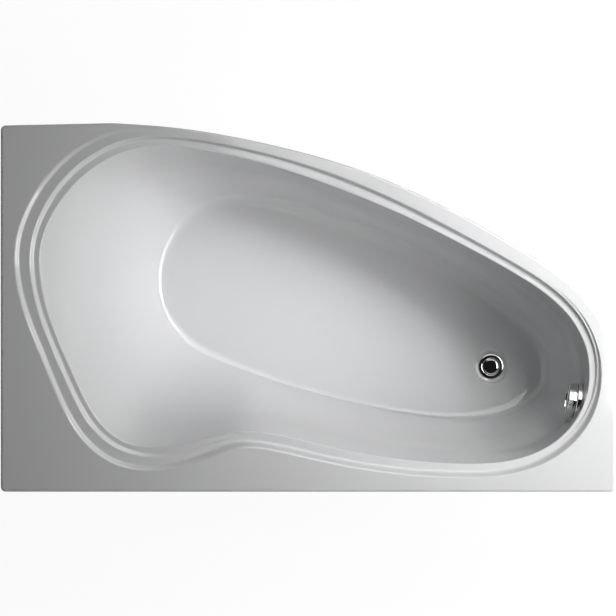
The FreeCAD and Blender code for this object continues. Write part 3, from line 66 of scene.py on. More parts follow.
LENGTH = 1.5
WIDTH = 0.9
DECK = 0.6
SHELL = 0.005
WASTE_FLOOR = 0.170
FLOOR_FALL = 0.012
WASTE = Vector((0.48, -0.1548, 0.0))
SEAT_POINT = Vector((0.673159, -0.232673, 0.505))
SEAT_TURN = math.radians(10.0)
SEAT_AXIS = Vector((-math.cos(SEAT_TURN), math.sin(SEAT_TURN), 0.0))
SEAT_ACROSS = Vector((math.sin(SEAT_TURN), math.cos(SEAT_TURN), 0.0))
CREASE = 40.0

Colour = tuple[float, float, float]
Point = Sequence[float]
Profile = list[tuple[float, float]]
Steps = tuple[tuple[float, float], ...]


# Node trees


class Value:
    """What leaves a node's socket, with Python's operators for sums on numbers."""

    def __init__(self, graph: "Graph", socket: Any) -> None:
        """Wraps a socket.

        Args:
            graph: The tree that the socket is in.
            socket: The output socket.
        """
        self.graph = graph
        self.socket = socket

    def __add__(self, other: Any) -> "Value":
        """Sum."""
        return self.graph.maths("ADD", self, other)

    def __radd__(self, other: Any) -> "Value":
        """Sum with a number on the left."""
        return self.graph.maths("ADD", other, self)

    def __sub__(self, other: Any) -> "Value":
        """Difference."""
        return self.graph.maths("SUBTRACT", self, other)

    def __rsub__(self, other: Any) -> "Value":
        """Difference from a number on the left."""
        return self.graph.maths("SUBTRACT", other, self)

    def __mul__(self, other: Any) -> "Value":
        """Product."""
        return self.graph.maths("MULTIPLY", self, other)

    def __rmul__(self, other: Any) -> "Value":
        """Product with a number on the left."""
        return self.graph.maths("MULTIPLY", other, self)

    def kept(self, low: float, high: float) -> "Value":
        """The value, kept between two limits."""
        return self.graph.maths("MINIMUM", self.graph.maths("MAXIMUM", self, low), high)


class Graph:
    """A shader or geometry tree that is written as expressions."""

    def __init__(self, tree: Any) -> None:
        """Wraps a node tree."""
        self.tree = tree

    def node(self, kind: str, settings: dict[str, Any] | None = None, **inputs: Any) -> Any:
        """Adds a node.

        Args:
            kind: The node's type.
            settings: Its settings; "stops" gives a colour ramp's places and colours.
            inputs: Values or links, by the socket's name with _ for a space, or by in_ and its number.

        Returns:
            The node.
        """
        node = self.tree.nodes.new(kind)
        for name, value in (settings or {}).items():
            if name == "stops":
                self._set_stops(node.color_ramp, value)
            else:
                setattr(node, name, value)
        for name, value in inputs.items():
            key = int(name[3:]) if name.startswith("in_") else name.replace("_", " ")
            self.feed(node.inputs[key], value)
        return node

    @staticmethod
    def _set_stops(ramp: Any, stops: Sequence[tuple[float, Sequence[float]]]) -> None:
        """Sets a ramp's stops.

        Args:
            ramp: The colour ramp.
            stops: Places and colours.
        """
        while len(ramp.elements) > 1:
            ramp.elements.remove(ramp.elements[-1])
        for index, (place, colour) in enumerate(stops):
            stop = ramp.elements[0] if index == 0 else ramp.elements.new(place)
            stop.position = place
            stop.color = (*colour, 1.0)

    def feed(self, socket: Any, value: Any) -> None:
        """Links a value to an input socket, or sets it.

        Args:
            socket: The input socket.
            value: A value of the tree, or a plain one.
        """
        if isinstance(value, Value):
            self.tree.links.new(value.socket, socket)
        else:
            socket.default_value = value

    def out(self, node: Any, name: str | int = 0) -> Value:
        """An output of a node."""
        return Value(self, node.outputs[name])

    def result(
        self, kind: str, settings: dict[str, Any] | None = None, output: str | int = 0, **inputs: Any
    ) -> Value:
        """Adds a node, as node() does, and gives one of its outputs."""
        return self.out(self.node(kind, settings, **inputs), output)

    def maths(self, operation: str, *values: Any) -> Value:
        """Adds a Math node and gives its result."""
        inputs = {f"in_{index}": value for index, value in enumerate(values)}
        return self.result("ShaderNodeMath", {"operation": operation}, **inputs)

    def place(self, scale: Point = (1.0, 1.0, 1.0), turn: Point = (0.0, 0.0, 0.0)) -> Value:
        """The surface's own place in the model, scaled and turned for a pattern."""
        coords = self.result("ShaderNodeTexCoord", output="Object")
        return self.result("ShaderNodeMapping", Vector=coords, Scale=scale, Rotation=turn)

    def noise(
        self, place: Value, scale: float, detail: float = 2.0, rough: float = 0.5, twist: float = 0.0
    ) -> Value:
        """Cloudy pattern from 0 to 1."""
        looks = {"Scale": scale, "Detail": detail, "Roughness": rough, "Distortion": twist}
        return self.result("ShaderNodeTexNoise", Vector=place, **looks)

    def cells(self, place: Value, scale: float) -> Any:
        """Cell pattern; its outputs are Distance and Color."""
        return self.node("ShaderNodeTexVoronoi", Vector=place, Scale=scale)

    def blend(self, share: Any, first: Any, second: Any) -> Value:
        """Mixes two colours.

        Args:
            share: How much of the second colour is in the mix.
            first: The first colour.
            second: The second colour.

        Returns:
            The mixed colour.
        """
        node = self.node("ShaderNodeMix", {"data_type": "RGBA"})
        self.feed(node.inputs[0], share)
        for socket, value in ((node.inputs[6], first), (node.inputs[7], second)):
            self.feed(socket, value if isinstance(value, Value) else (*value, 1.0))
        return self.out(node, 2)

    def tones(self, share: Value, *stops: tuple[float, Sequence[float]]) -> Value:
        """A colour ramp over a value."""
        return self.result("ShaderNodeValToRGB", {"stops": stops}, "Color", Fac=share)


def blank(owner: Any) -> Graph:
    """Empties the node tree of a material or of the world.

    Args:
        owner: The material or the world.

    Returns:
        The tree.
    """
    owner.use_nodes = True
    owner.node_tree.nodes.clear()
    return Graph(owner.node_tree)


# Finishes

Surface = tuple[dict[str, Any], Value | None, float]


class Finish:
    """Base of the finishes: each makes one material, once."""

    made: dict[str, bpy.types.Material] = {}

    @property
    def title(self) -> str:
        """The material's name."""
        return type(self).__name__

    def surface(self, graph: Graph) -> Surface:
        """Describes the surface.

        Args:
            graph: The material's tree.

        Returns:
            The shader's inputs, a height pattern or None, and the height's depth in metres.
        """
        raise NotImplementedError

    def shader(self, graph: Graph) -> Value:
        """Builds the shader that the surface's description asks for.

        Args:
            graph: The material's tree.

        Returns:
            The shader.
        """
        inputs, height, depth = self.surface(graph)
        if height is not None:
            inputs["Normal"] = graph.result("ShaderNodeBump", Strength=1.0, Distance=depth, Height=height)
        shader = graph.node("ShaderNodeBsdfPrincipled")
        for name, value in inputs.items():
            graph.feed(shader.inputs[name], value)
        return graph.out(shader)

    def material(self) -> bpy.types.Material:
        """The finish's material.

        Returns:
            The material, made at its first use.
        """
        if self.title not in Finish.made:
            made = bpy.data.materials.new(self.title)
            graph = blank(made)
            graph.node("ShaderNodeOutputMaterial", Surface=self.shader(graph))
            Finish.made[self.title] = made
        return Finish.made[self.title]


@dataclass(frozen=True)
class Acrylic(Finish):
    """White cast acrylic: glossy, with the faint unevenness of a vacuum-formed sheet."""

    white: Colour = (0.72, 0.724, 0.729)
    gloss: float = 0.08

    def surface(self, graph: Graph) -> Surface:
        """Gloss that drifts a little, over a barely wavy sheet.

        Args:
            graph: The material's tree.

        Returns:
            The shader's inputs, the height pattern and its depth.
        """
        place = graph.place()
        drift = graph.noise(place, 3.0, 3.0)
        shade = tuple(0.975 * tone for tone in self.white)
        fine = graph.noise(place, 90.0, 2.0)
        inputs = {
            "Base Color": graph.blend(drift, shade, self.white),
            "Roughness": (self.gloss - 0.02) + 0.04 * fine,
            "IOR": 1.49,
            "Coat Weight": 0.4,
            "Coat Roughness": 0.04,
        }
        return inputs, graph.noise(place, 14.0, 2.0) + 0.08 * fine, 0.0002


@dataclass(frozen=True)
class GlassFibre(Finish):
    """Resin with chopped glass strands, rolled on and left rough."""

    resin: Colour = (0.60, 0.57, 0.45)
    strand: Colour = (0.80, 0.79, 0.70)

    def surface(self, graph: Graph) -> Surface:
        """Strands that lie three ways over cloudy resin.

        Args:
            graph: The material's tree.

        Returns:
            The shader's inputs, the height pattern and its depth.
        """
        strands: Value | None = None
        for number, angle in enumerate((0.3, 1.4, 2.5)):
            place = graph.place((1.0, 14.0, 3.0), (angle, 0.5 * number, angle))
            lines = (graph.noise(place, 22.0, 2.0, 0.6, 0.4) - 0.56).kept(0.0, 0.12) * 8.0
            strands = lines if strands is None else graph.maths("MAXIMUM", strands, lines)
        cloud = graph.noise(graph.place(), 7.0, 4.0, 0.65)
        share = (0.75 * strands + 0.45 * cloud - 0.1).kept(0.0, 1.0)
        inputs = {
            "Base Color": graph.blend(share, self.resin, self.strand),
            "Roughness": 0.42 + 0.25 * strands,
        }
        return inputs, strands * 0.5 + cloud, 0.0011


@dataclass(frozen=True)
class Chipboard(Finish):
    """Pressed wood chips, as on a raw board."""

    def surface(self, graph: Graph) -> Surface:
        """Chips of several browns with darker gaps.

        Args:
            graph: The material's tree.

        Returns:
            The shader's inputs, the height pattern and its depth.
        """
        place = graph.place((1.0, 2.2, 1.6), (0.0, 0.0, 0.5))
        chips = graph.cells(place, 150.0)
        tone = graph.noise(graph.out(chips, "Color"), 3.0, 1.0)
        gap = graph.out(chips, "Distance")
        colour = graph.tones(
            tone, (0.3, (0.30, 0.19, 0.09)), (0.5, (0.50, 0.35, 0.19)), (0.72, (0.66, 0.50, 0.31))
        )
        return {"Base Color": colour, "Roughness": 0.74 + 0.1 * tone}, 1.0 - gap, 0.0006


@dataclass(frozen=True)
class SawnTimber(Finish):
    """Softwood with its grain along the piece."""

    def surface(self, graph: Graph) -> Surface:
        """Long grain lines in a warm pale brown.

        Args:
            graph: The material's tree.

        Returns:
            The shader's inputs, the height pattern and its depth.
        """
        grain = graph.noise(graph.place((3.0, 60.0, 60.0)), 3.0, 3.0, 0.6, 0.5)
        fine = graph.noise(graph.place((20.0, 300.0, 300.0)), 3.0)
        colour = graph.tones(
            grain, (0.35, (0.44, 0.29, 0.15)), (0.5, (0.64, 0.48, 0.29)), (0.7, (0.72, 0.57, 0.37))
        )
        return {"Base Color": colour, "Roughness": 0.62 + 0.12 * fine}, grain + 0.3 * fine, 0.0004


@dataclass(frozen=True)
class ZincPlate(Finish):
    """Zinc-plated steel with faint spangle and dull patches."""

    tone: float = 0.58
    gloss: float = 0.34

    @property
    def title(self) -> str:
        """A name for each gloss."""
        return f"ZincPlate_{round(100 * self.gloss)}"

    def surface(self, graph: Graph) -> Surface:
        """Spangled grey metal.

        Args:
            graph: The material's tree.

        Returns:
            The shader's inputs, the height pattern and its depth.
        """
        place = graph.place()
        spangle = graph.noise(graph.out(graph.cells(place, 120.0), "Color"), 2.0, 0.0)
        cloud = graph.noise(place, 25.0, 3.0)
        dull = tuple(self.tone * part for part in (0.72, 0.73, 0.75))
        bright = tuple(self.tone * part for part in (1.12, 1.13, 1.15))
        inputs = {
            "Base Color": graph.blend(0.5 * spangle + 0.5 * cloud, dull, bright),
            "Metallic": 1.0,
            "Roughness": (self.gloss - 0.06) + 0.16 * cloud,
        }
        return inputs, spangle, 0.00005


@dataclass(frozen=True)
class Chrome(Finish):
    """Bright chrome plate with traces of water."""

    tone: float = 0.57

    def surface(self, graph: Graph) -> Surface:
        """Mirror gloss with soft cloudy traces.

        Args:
            graph: The material's tree.

        Returns:
            The shader's inputs, the height pattern and its depth.
        """
        trace = (graph.noise(graph.place(), 45.0, 3.0, 0.6) - 0.5).kept(0.0, 0.3)
        bright = (self.tone, self.tone * 1.005, self.tone * 1.015)
        faint = tuple(0.93 * part for part in bright)
        inputs = {
            "Base Color": graph.blend(trace * 3.0, bright, faint),
            "Metallic": 1.0,
            "Roughness": 0.045 + 0.25 * trace,
        }
        return inputs, None, 0.0


@dataclass(frozen=True)
class TurnedBrass(Finish):
    """Brass with fine turning lines round its axis."""

    def surface(self, graph: Graph) -> Surface:
        """Warm metal, a little tarnished.

        Args:
            graph: The material's tree.

        Returns:
            The shader's inputs, the height pattern and its depth.
        """
        lines = graph.noise(graph.place((1.0, 1.0, 40.0)), 60.0, 2.0)
        tarnish = graph.noise(graph.place(), 60.0, 3.0)
        colour = graph.blend(tarnish, (0.55, 0.40, 0.16), (0.78, 0.61, 0.30))
        return {"Base Color": colour, "Metallic": 1.0, "Roughness": 0.2 + 0.18 * lines}, lines, 0.00004


@dataclass(frozen=True)
class Rubber(Finish):
    """Black seal rubber with a faint bloom."""

    def surface(self, graph: Graph) -> Surface:
        """Dull black with grey bloom in patches.

        Args:
            graph: The material's tree.

        Returns:
            The shader's inputs, the height pattern and its depth.
        """
        bloom = graph.noise(graph.place(), 80.0, 4.0)
        colour = graph.blend(bloom, (0.018, 0.018, 0.019), (0.06, 0.06, 0.062))
        return {"Base Color": colour, "Roughness": 0.6 + 0.2 * bloom}, bloom, 0.0001


@dataclass(frozen=True)
class MouldedPlastic(Finish):
    """Injection-moulded plastic with a fine spark-eroded grain."""

    name: str
    colour: Colour
    gloss: float = 0.45

    @property
    def title(self) -> str:
        """A name for each colour."""
        return "Plastic_" + self.name

    def surface(self, graph: Graph) -> Surface:
        """Even colour with fine grain and slight flow marks.

        Args:
            graph: The material's tree.

        Returns:
            The shader's inputs, the height pattern and its depth.
        """
        place = graph.place()
        grain = graph.noise(place, 900.0, 1.0)
        flow = graph.noise(place, 18.0, 3.0)
        dark = tuple(0.88 * part for part in self.colour)
        inputs = {
            "Base Color": graph.blend(flow, dark, self.colour),
            "Roughness": (self.gloss - 0.05) + 0.1 * flow,
        }
        return inputs, grain, 0.00012


class Palette(Enum):
    """Finishes by the record's material slots."""

    acrylic = Acrylic()
    laminate = GlassFibre()
    board = Chipboard()
    timber = SawnTimber()
    zinc_bar = ZincPlate()
    steel = ZincPlate(0.66, 0.26)
    pad = MouldedPlastic("Pad", (0.035, 0.035, 0.038), 0.55)
    chrome = Chrome()
    brass = TurnedBrass()
    seal = Rubber()
    white_plastic = MouldedPlastic("White", (0.78, 0.78, 0.76), 0.4)
    black_plastic = MouldedPlastic("Black", (0.03, 0.03, 0.032), 0.4)
    hose = MouldedPlastic("Hose", (0.52, 0.53, 0.54), 0.38)
    cable = MouldedPlastic("Cable", (0.03, 0.03, 0.034), 0.35)


# Meshes


class LoopMesh:
    """A mesh of closed loops of points, each joined to the next."""

    merge_reach = 1e-7

    def __init__(self) -> None:
        """Starts an empty mesh."""
        self.points: list[Point] = []
        self.faces: list[tuple[int, ...]] = []

    def loop(self, ring: Iterable[Point]) -> range:
        """Adds a closed loop of points.

        Args:
            ring: The loop's points.

        Returns:
            The points' numbers.
        """
        first = len(self.points)
        self.points.extend(tuple(float(part) for part in point) for point in ring)
        return range(first, len(self.points))

    def join(self, first: range, second: range) -> None:
        """Joins two loops of as many points with a band of faces.

        Args:
            first: One loop.
            second: The other loop.
        """
        count = len(first)
        for index in range(count):
            after = (index + 1) % count
            self.faces.append((first[index], first[after], second[after], second[index]))

    def band(self, rings: Iterable[Iterable[Point]]) -> tuple[range, range]:
        """Adds loops, each joined to the one before it.

        Args:
            rings: The loops.

        Returns:
            The first and the last loop.
        """
        loops = [self.loop(ring) for ring in rings]
        for first, second in zip(loops, loops[1:]):
            self.join(first, second)
        return loops[0], loops[-1]

    def solid(self, rings: Iterable[Iterable[Point]]) -> None:
        """Adds loops, each joined to the one before it, with a face over both ends."""
        for end in self.band(rings):
            self.cap(end)

    def sheet(self, outer: range, inner: range) -> None:
        """Fills the nearly flat space between two loops, seen from above.

        Args:
            outer: The loop round the space.
            inner: The loop inside it.
        """
        numbers = [*outer, *inner]
        spots = [Vector(self.points[number][:2]) for number in numbers]
        rings = (range(len(outer)), range(len(outer), len(numbers)))
        edges = [(ring[i], ring[(i + 1) % len(ring)]) for ring in rings for i in range(len(ring))]
        filled = delaunay_2d_cdt(spots, edges, [], 0, self.merge_reach)
        origin = [came[0] for came in filled[3]]
        outlines = [np.array([spots[i] for i in ring]) for ring in rings]
        for corners in filled[2]:
            face = [origin[i] for i in corners]
            middle = sum((spots[i] for i in face), Vector((0.0, 0.0))) / len(face)
            if within(outlines[0], middle) and not within(outlines[1], middle):
                self.faces.append(tuple(numbers[i] for i in face))

    def cap(self, loop: range) -> None:
        """Closes a loop with one face."""
        self.faces.append(tuple(loop))

    def build(self, name: str, finish: Finish, crease: float = CREASE) -> bpy.types.Object:
        """Makes the smooth object.

        Args:
            name: Its name.
            finish: Its finish.
            crease: The angle in degrees past which an edge stays sharp.

        Returns:
            The object, with its faces pointing outwards.
        """
        mesh = bpy.data.meshes.new(name)
        mesh.from_pydata(self.points, [], self.faces)
        work = bmesh.new()
        work.from_mesh(mesh)
        bmesh.ops.remove_doubles(work, verts=work.verts, dist=self.merge_reach)
        bmesh.ops.recalc_face_normals(work, faces=work.faces)
        work.to_mesh(mesh)
        work.free()
        mesh.shade_smooth()
        mesh.set_sharp_from_angle(angle=math.radians(crease))
        mesh.materials.append(finish.material())
        return linked(name, mesh)


def linked(name: str, data: Any) -> bpy.types.Object:
    """Puts an object into the scene.

    Args:
        name: Its name.
        data: Its mesh, light or camera.

    Returns:
        The object.
    """
    piece = bpy.data.objects.new(name, data)
    bpy.context.scene.collection.objects.link(piece)
    return piece


def within(outline: np.ndarray, spot: Vector) -> bool:
    """Tells whether a spot is inside a closed outline.

    Args:
        outline: The outline's corners.
        spot: The spot.

    Returns:
        True if it is inside.
    """
    x, y = outline[:, 0], outline[:, 1]
    x2, y2 = np.roll(x, -1), np.roll(y, -1)
    crosses = (y > spot[1]) != (y2 > spot[1])
    with np.errstate(divide="ignore", invalid="ignore"):
        at = x + (spot[1] - y) * (x2 - x) / (y2 - y)
    return bool(np.count_nonzero(crosses & (spot[0] < at)) % 2)


def ring(radius: float, height: float, count: int, centre: Vector = WASTE) -> list[Point]:
    """A level circle of points."""
    turns = [2 * math.pi * i / count for i in range(count)]
    return [(centre.x + radius * math.cos(a), centre.y + radius * math.sin(a), height) for a in turns]


def arc(
    middle: tuple[float, float], radius: float, start: float, end: float, steps: int = 8
) -> Profile:
    """Points of an arc in a profile, from one angle in degrees to another."""
    angles = [math.radians(start + (end - start) * i / steps) for i in range(steps + 1)]
    return [(middle[0] + radius * math.cos(a), middle[1] + radius * math.sin(a)) for a in angles]


@dataclass(frozen=True)
class Seating:
    """A place and an axis that turned pieces are built about."""

    origin: Vector
    axis: Vector
    across: Vector

    def at(self, x: float, y: float, height: float) -> Vector:
        """A point across and along the axis."""
        return self.origin + self.across * x + self.axis.cross(self.across) * y + self.axis * height

    def circle(self, radius: float, height: float, count: int) -> list[Vector]:
        """A circle round the axis."""
        turns = [2 * math.pi * i / count for i in range(count)]
        return [self.at(radius * math.cos(a), radius * math.sin(a), height) for a in turns]


UPRIGHT = Seating(WASTE, Vector((0, 0, 1)), Vector((1, 0, 0)))
ON_WALL = Seating(SEAT_POINT, SEAT_AXIS, SEAT_ACROSS)


def turned(mesh: LoopMesh, seating: Seating, profile: Profile, count: int) -> None:
    """Adds a closed turned form to a mesh.

    Args:
        mesh: The mesh.
        seating: The axis it is turned about.
        profile: Radii and heights. It is solid from radius 0 to 0, or else its last joins its first.
        count: Faces round it.
    """
    solid = profile[0][0] == 0
    rows = profile[1:-1] if solid else profile
    first, last = mesh.band(seating.circle(r, z, count) for r, z in rows)
    if not solid:
        mesh.join(last, first)
        return
    for loop, (_, height) in ((first, profile[0]), (last, profile[-1])):
        middle = len(mesh.points)
        mesh.points.append(tuple(seating.at(0.0, 0.0, height)))
        mesh.faces += [(loop[i], loop[(i + 1) % count], middle) for i in range(count)]


def bar(mesh: LoopMesh, seating: Seating, low: Point, high: Point, bevel: float) -> None:
    """Adds a bar with bevelled long edges, in a seating's own axes.

    Args:
        mesh: The mesh.
        seating: The axes that the bar lies in.
        low: Its lowest corner.
        high: Its highest corner.
        bevel: The width of its bevels.
    """
    (x0, y0, z0), (x1, y1, z1) = low, high
    outline = [(y0 + bevel, z0), (y1 - bevel, z0), (y1, z0 + bevel), (y1, z1 - bevel)]
    outline += [(y1 - bevel, z1), (y0 + bevel, z1), (y0, z1 - bevel), (y0, z0 + bevel)]
    mesh.solid([seating.at(x, y, z) for y, z in outline] for x in (x0, x1))


# The moulded bath

# A row is a station on the way round the basin. It holds the basin's edge and the floor's corner under
# it, as shares of length and width. Then come shares of the inner and the outer step's reach, of the
# drop, as far as the outer step takes it, of the way to the floor's corner that the wall has gone at
# half its height, and of the fillet at its foot.
STATIONS = (
    (0.0627, 0.6181, 0.2433, 0.6145, 0.76, 0.92, 0.5, 0.46, 0.28),
    (0.0725, 0.5067, 0.2418, 0.5498, 0.68, 0.82, 0.5, 0.46, 0.25),
    (0.0945, 0.4067, 0.2505, 0.4881, 0.68, 0.77, 0.5, 0.46, 0.25),
    (0.121, 0.3069, 0.2682, 0.4386, 0.72, 0.83, 0.5, 0.46, 0.25),
    (0.1564, 0.1944, 0.2918, 0.3991, 0.76, 0.9, 0.54, 0.46, 0.25),
    (0.2068, 0.1304, 0.3176, 0.3714, 0.72, 0.93, 0.6, 0.45, 0.22),
    (0.2683, 0.1216, 0.3467, 0.3481, 0.68, 0.84, 0.7, 0.44, 0.19),
    (0.3303, 0.1422, 0.3822, 0.3238, 0.64, 0.69, 0.86, 0.42, 0.16),
    (0.3891, 0.1638, 0.4245, 0.2979, 0.64, 0.55, 1, 0.4, 0.14),
    (0.4499, 0.1539, 0.4742, 0.2713, 0.64, 0.56, 1, 0.4, 0.13),
    (0.5193, 0.1267, 0.5341, 0.2437, 0.64, 0.55, 1, 0.4, 0.13),
    (0.5946, 0.1005, 0.6025, 0.2162, 0.64, 0.52, 1, 0.4, 0.13),
    (0.6745, 0.0827, 0.676, 0.1931, 0.64, 0.5, 1, 0.38, 0.14),
    (0.7558, 0.0753, 0.7514, 0.1805, 0.65, 0.48, 1, 0.33, 0.18),
    (0.8308, 0.0835, 0.8199, 0.1865, 0.68, 0.47, 1, 0.25, 0.28),
    (0.8929, 0.1236, 0.8712, 0.2139, 0.72, 0.46, 1, 0.17, 0.46),
    (0.9365, 0.1935, 0.9019, 0.2555, 0.75, 0.46, 0.92, 0.11, 0.6),
    (0.9567, 0.2819, 0.9153, 0.3065, 0.76, 0.45, 0.72, 0.1, 0.78),
    (0.9546, 0.381, 0.9126, 0.3625, 0.76, 0.43, 0.42, 0.11, 0.92),
    (0.9284, 0.4711, 0.8946, 0.4199, 0.76, 0.42, 0.16, 0.16, 1),
    (0.8815, 0.5445, 0.8628, 0.4796, 0.75, 0.43, 0, 0.22, 1),
    (0.8245, 0.6045, 0.8175, 0.5409, 0.73, 0.46, 0, 0.28, 1),
    (0.7648, 0.6593, 0.762, 0.6006, 0.74, 0.5, 0, 0.32, 1),
    (0.7045, 0.7115, 0.7008, 0.6558, 0.79, 0.54, 0, 0.34, 1),
    (0.6426, 0.7603, 0.6361, 0.7053, 0.88, 0.59, 0, 0.35, 1),
    (0.5773, 0.8056, 0.5678, 0.7487, 0.98, 0.62, 0, 0.36, 1),
    (0.5066, 0.85, 0.498, 0.7849, 0.98, 0.62, 0, 0.37, 1),
    (0.4305, 0.8899, 0.4326, 0.809, 0.88, 0.5, 0, 0.38, 0.96),
    (0.3496, 0.9211, 0.3788, 0.8154, 0.8, 0.5, 0, 0.4, 0.86),
    (0.2688, 0.9373, 0.3365, 0.8036, 0.82, 0.52, 0, 0.42, 0.7),
    (0.189, 0.9173, 0.3019, 0.7746, 0.92, 0.95, 0.1, 0.44, 0.52),
    (0.1149, 0.829, 0.274, 0.7308, 0.94, 0.97, 0.34, 0.45, 0.4),
    (0.0724, 0.7126, 0.2541, 0.676, 0.84, 0.96, 0.48, 0.46, 0.32),
)
# The curved front, as shares of length and width, from the head to the foot.
FRONT = (
    (0.1818, 1), (0.276, 0.9886), (0.3669, 0.9664), (0.4578, 0.934), (0.5487, 0.8926),
    (0.6396, 0.8366), (0.7305, 0.7662), (0.8214, 0.6824), (0.8896, 0.6107), (0.9351, 0.5498),
    (0.962, 0.4997), (0.984, 0.4416), (1, 0.3793),
)

# Where the head's side meets the front, before the corner is rounded.
HEAD_CORNER = (0.0, 0.9935)

# Spans of the basin's surface from the deck to the floor. Its profiles have two more control points.
SPANS = 14


def floor_plane(x: Any) -> Any:
    """Height of the sloping basin floor at a place along the bath."""
    head = (STATIONS[0][2] - 0.5) * LENGTH
    return WASTE_FLOOR + FLOOR_FALL * (WASTE.x - x) / (WASTE.x - head)


def smooth_step(share: np.ndarray) -> np.ndarray:
    """A soft step from 0 to 1."""
    share = np.clip(share, 0.0, 1.0)
    return share * share * (3.0 - 2.0 * share)


@dataclass
class Basin:
    """The basin's smooth surface over its control rings, from the deck down to the floor."""

    inner_reach: float = 0.025
    outer_reach: float = 0.060
    drop: float = 0.018
    shoulder: float = 0.060
    fillet: float = 0.095
    edge_softness: float = 0.006
    cove: float = 0.014
    cove_lean: float = 0.005
    longest_run: float = 0.004
    single_from: float = 0.6
    single_power: float = 0.35
    rings: np.ndarray = field(init=False)
    ways: np.ndarray = field(init=False)

    def __post_init__(self) -> None:
        """Works out the control rings and the directions in which they offset."""
        table = np.array(STATIONS)
        edge = self._faired((table[:, 0:2] - 0.5) * (LENGTH, WIDTH))
        corner = self._faired((table[:, 2:4] - 0.5) * (LENGTH, WIDTH))
        along = np.roll(edge, -1, 0) - np.roll(edge, 1, 0)
        outward = np.stack([along[:, 1], -along[:, 0]], 1)
        outward /= np.linalg.norm(outward, axis=1)[:, None]
        inset = np.linalg.norm(corner - edge, axis=1)
        inward = (corner - edge) / inset[:, None]
        rings, ways = [], []
        for index, row in enumerate(table):
            profile = self._profile(row[4:], corner[index], inset[index])
            legs = np.diff(profile, axis=0)
            legs /= np.linalg.norm(legs, axis=1)[:, None]
            normals = np.stack([-legs[:, 1], legs[:, 0]], 1)
            sums = normals[:-1] + normals[1:]
            mitres = sums / (1.0 + np.sum(normals[:-1] * normals[1:], 1))[:, None]
            shifts = np.vstack([normals[:1], mitres, [[0.0, -1.0]]])
            side = np.where(profile[:, :1] >= 0, outward[index], -inward[index])
            plan = edge[index] + profile[:, :1] * side
            heights = profile[:, 1].copy()
            heights[-2:] = floor_plane(plan[-2:, 0])
            rings.append(np.column_stack([plan, heights]))
            ways.append(np.column_stack([side * shifts[:, :1], shifts[:, 1]]))
        self.rings = np.array(rings)
        self.ways = np.array(ways)

    @staticmethod
    def _faired(points: np.ndarray) -> np.ndarray:
        """Control points whose closed curve passes close to the points."""
        return points - (np.roll(points, 1, 0) + np.roll(points, -1, 0) - 2.0 * points) / 6.0

    def _profile(self, shares: np.ndarray, corner: np.ndarray, inset: float) -> np.ndarray:
        """Offsets and heights of one station's control points.

        Args:
            shares: The station's step, lean and fillet shares.
            corner: The floor corner in plan.
            inset: How far the floor corner is from the basin's edge.

        Returns:
            The profile from the deck to the floor.
        """
        inner_share, outer_share, drop_share, lean_share, fillet_share = shares
        ledge = DECK - self.drop
        inner = inner_share * self.inner_reach
        outer = outer_share * self.outer_reach
        run = min(self.longest_run, (outer - inner) / 5.0)
        band = DECK - drop_share * self.drop
        low = float(floor_plane(corner[0]))
        half = (ledge + low) / 2.0
        lean = lean_share * inset
        upper = np.array([-lean, half - ledge])
        upper /= np.linalg.norm(upper)
        lower = np.array([lean - inset, low - half])
        lower /= np.linalg.norm(lower)
        fillet = fillet_share * self.fillet
        soft = self.edge_softness
        single = max(0.0, (drop_share - self.single_from) / (1.0 - self.single_from))
        wall = outer - run - single * self.cove_lean
        foot = outer - run - max(run, single * self.cove)
        steps = np.array([inner + 2 * run, inner + run, inner - run, inner - 2 * run])
        even = soft + (foot - soft) * np.array([0.8, 0.6, 0.4, 0.2])
        steps = steps + (even - steps) * single**self.single_power
        return np.array(
            [
                (outer + 2 * run, DECK),
                (outer + run, DECK),
                (wall, band),
                (foot, band),
                (steps[0], band),
                (steps[1], band),
                (steps[2], ledge),
                (steps[3], ledge),
                (soft, ledge),
                (0.0, ledge),
                (upper[0] * soft, ledge + upper[1] * soft),
                (upper[0] * self.shoulder, ledge + upper[1] * self.shoulder),
                (-lean, half),
                (-inset - lower[0] * fillet, low - lower[1] * fillet),
                (-inset, low),
                (-inset - fillet, low),
            ]
        )

    def loops(self, offset: float, around: np.ndarray, down: np.ndarray) -> np.ndarray:
        """Points of the surface.

        Args:
            offset: How far the surface is moved out of the basin.
            around: Places round the basin, in stations.
            down: Places from the deck, 0, to the floor, SPANS.

        Returns:
            Points, loop by loop.
        """
        net = self.rings + self.ways * offset
        downwards, round_about = self._down_weights(down), self._around_weights(around)
        return np.einsum("lk,ps,skc->lpc", downwards, round_about, net)

    @staticmethod
    def _around_weights(around: np.ndarray) -> np.ndarray:
        """Weights of a closed cubic spline's stations.

        Args:
            around: Places round the basin, in stations.

        Returns:
            A row of weights for each place.
        """
        count = len(STATIONS)
        weights = np.zeros((len(around), count))
        first = np.floor(around).astype(int)
        t = around - first
        parts = ((1 - t) ** 3, 3 * t**3 - 6 * t**2 + 4, -3 * t**3 + 3 * t**2 + 3 * t + 1, t**3)
        for step, part in enumerate(parts):
            np.add.at(weights, (np.arange(len(around)), (first + step - 1) % count), part / 6.0)
        return weights

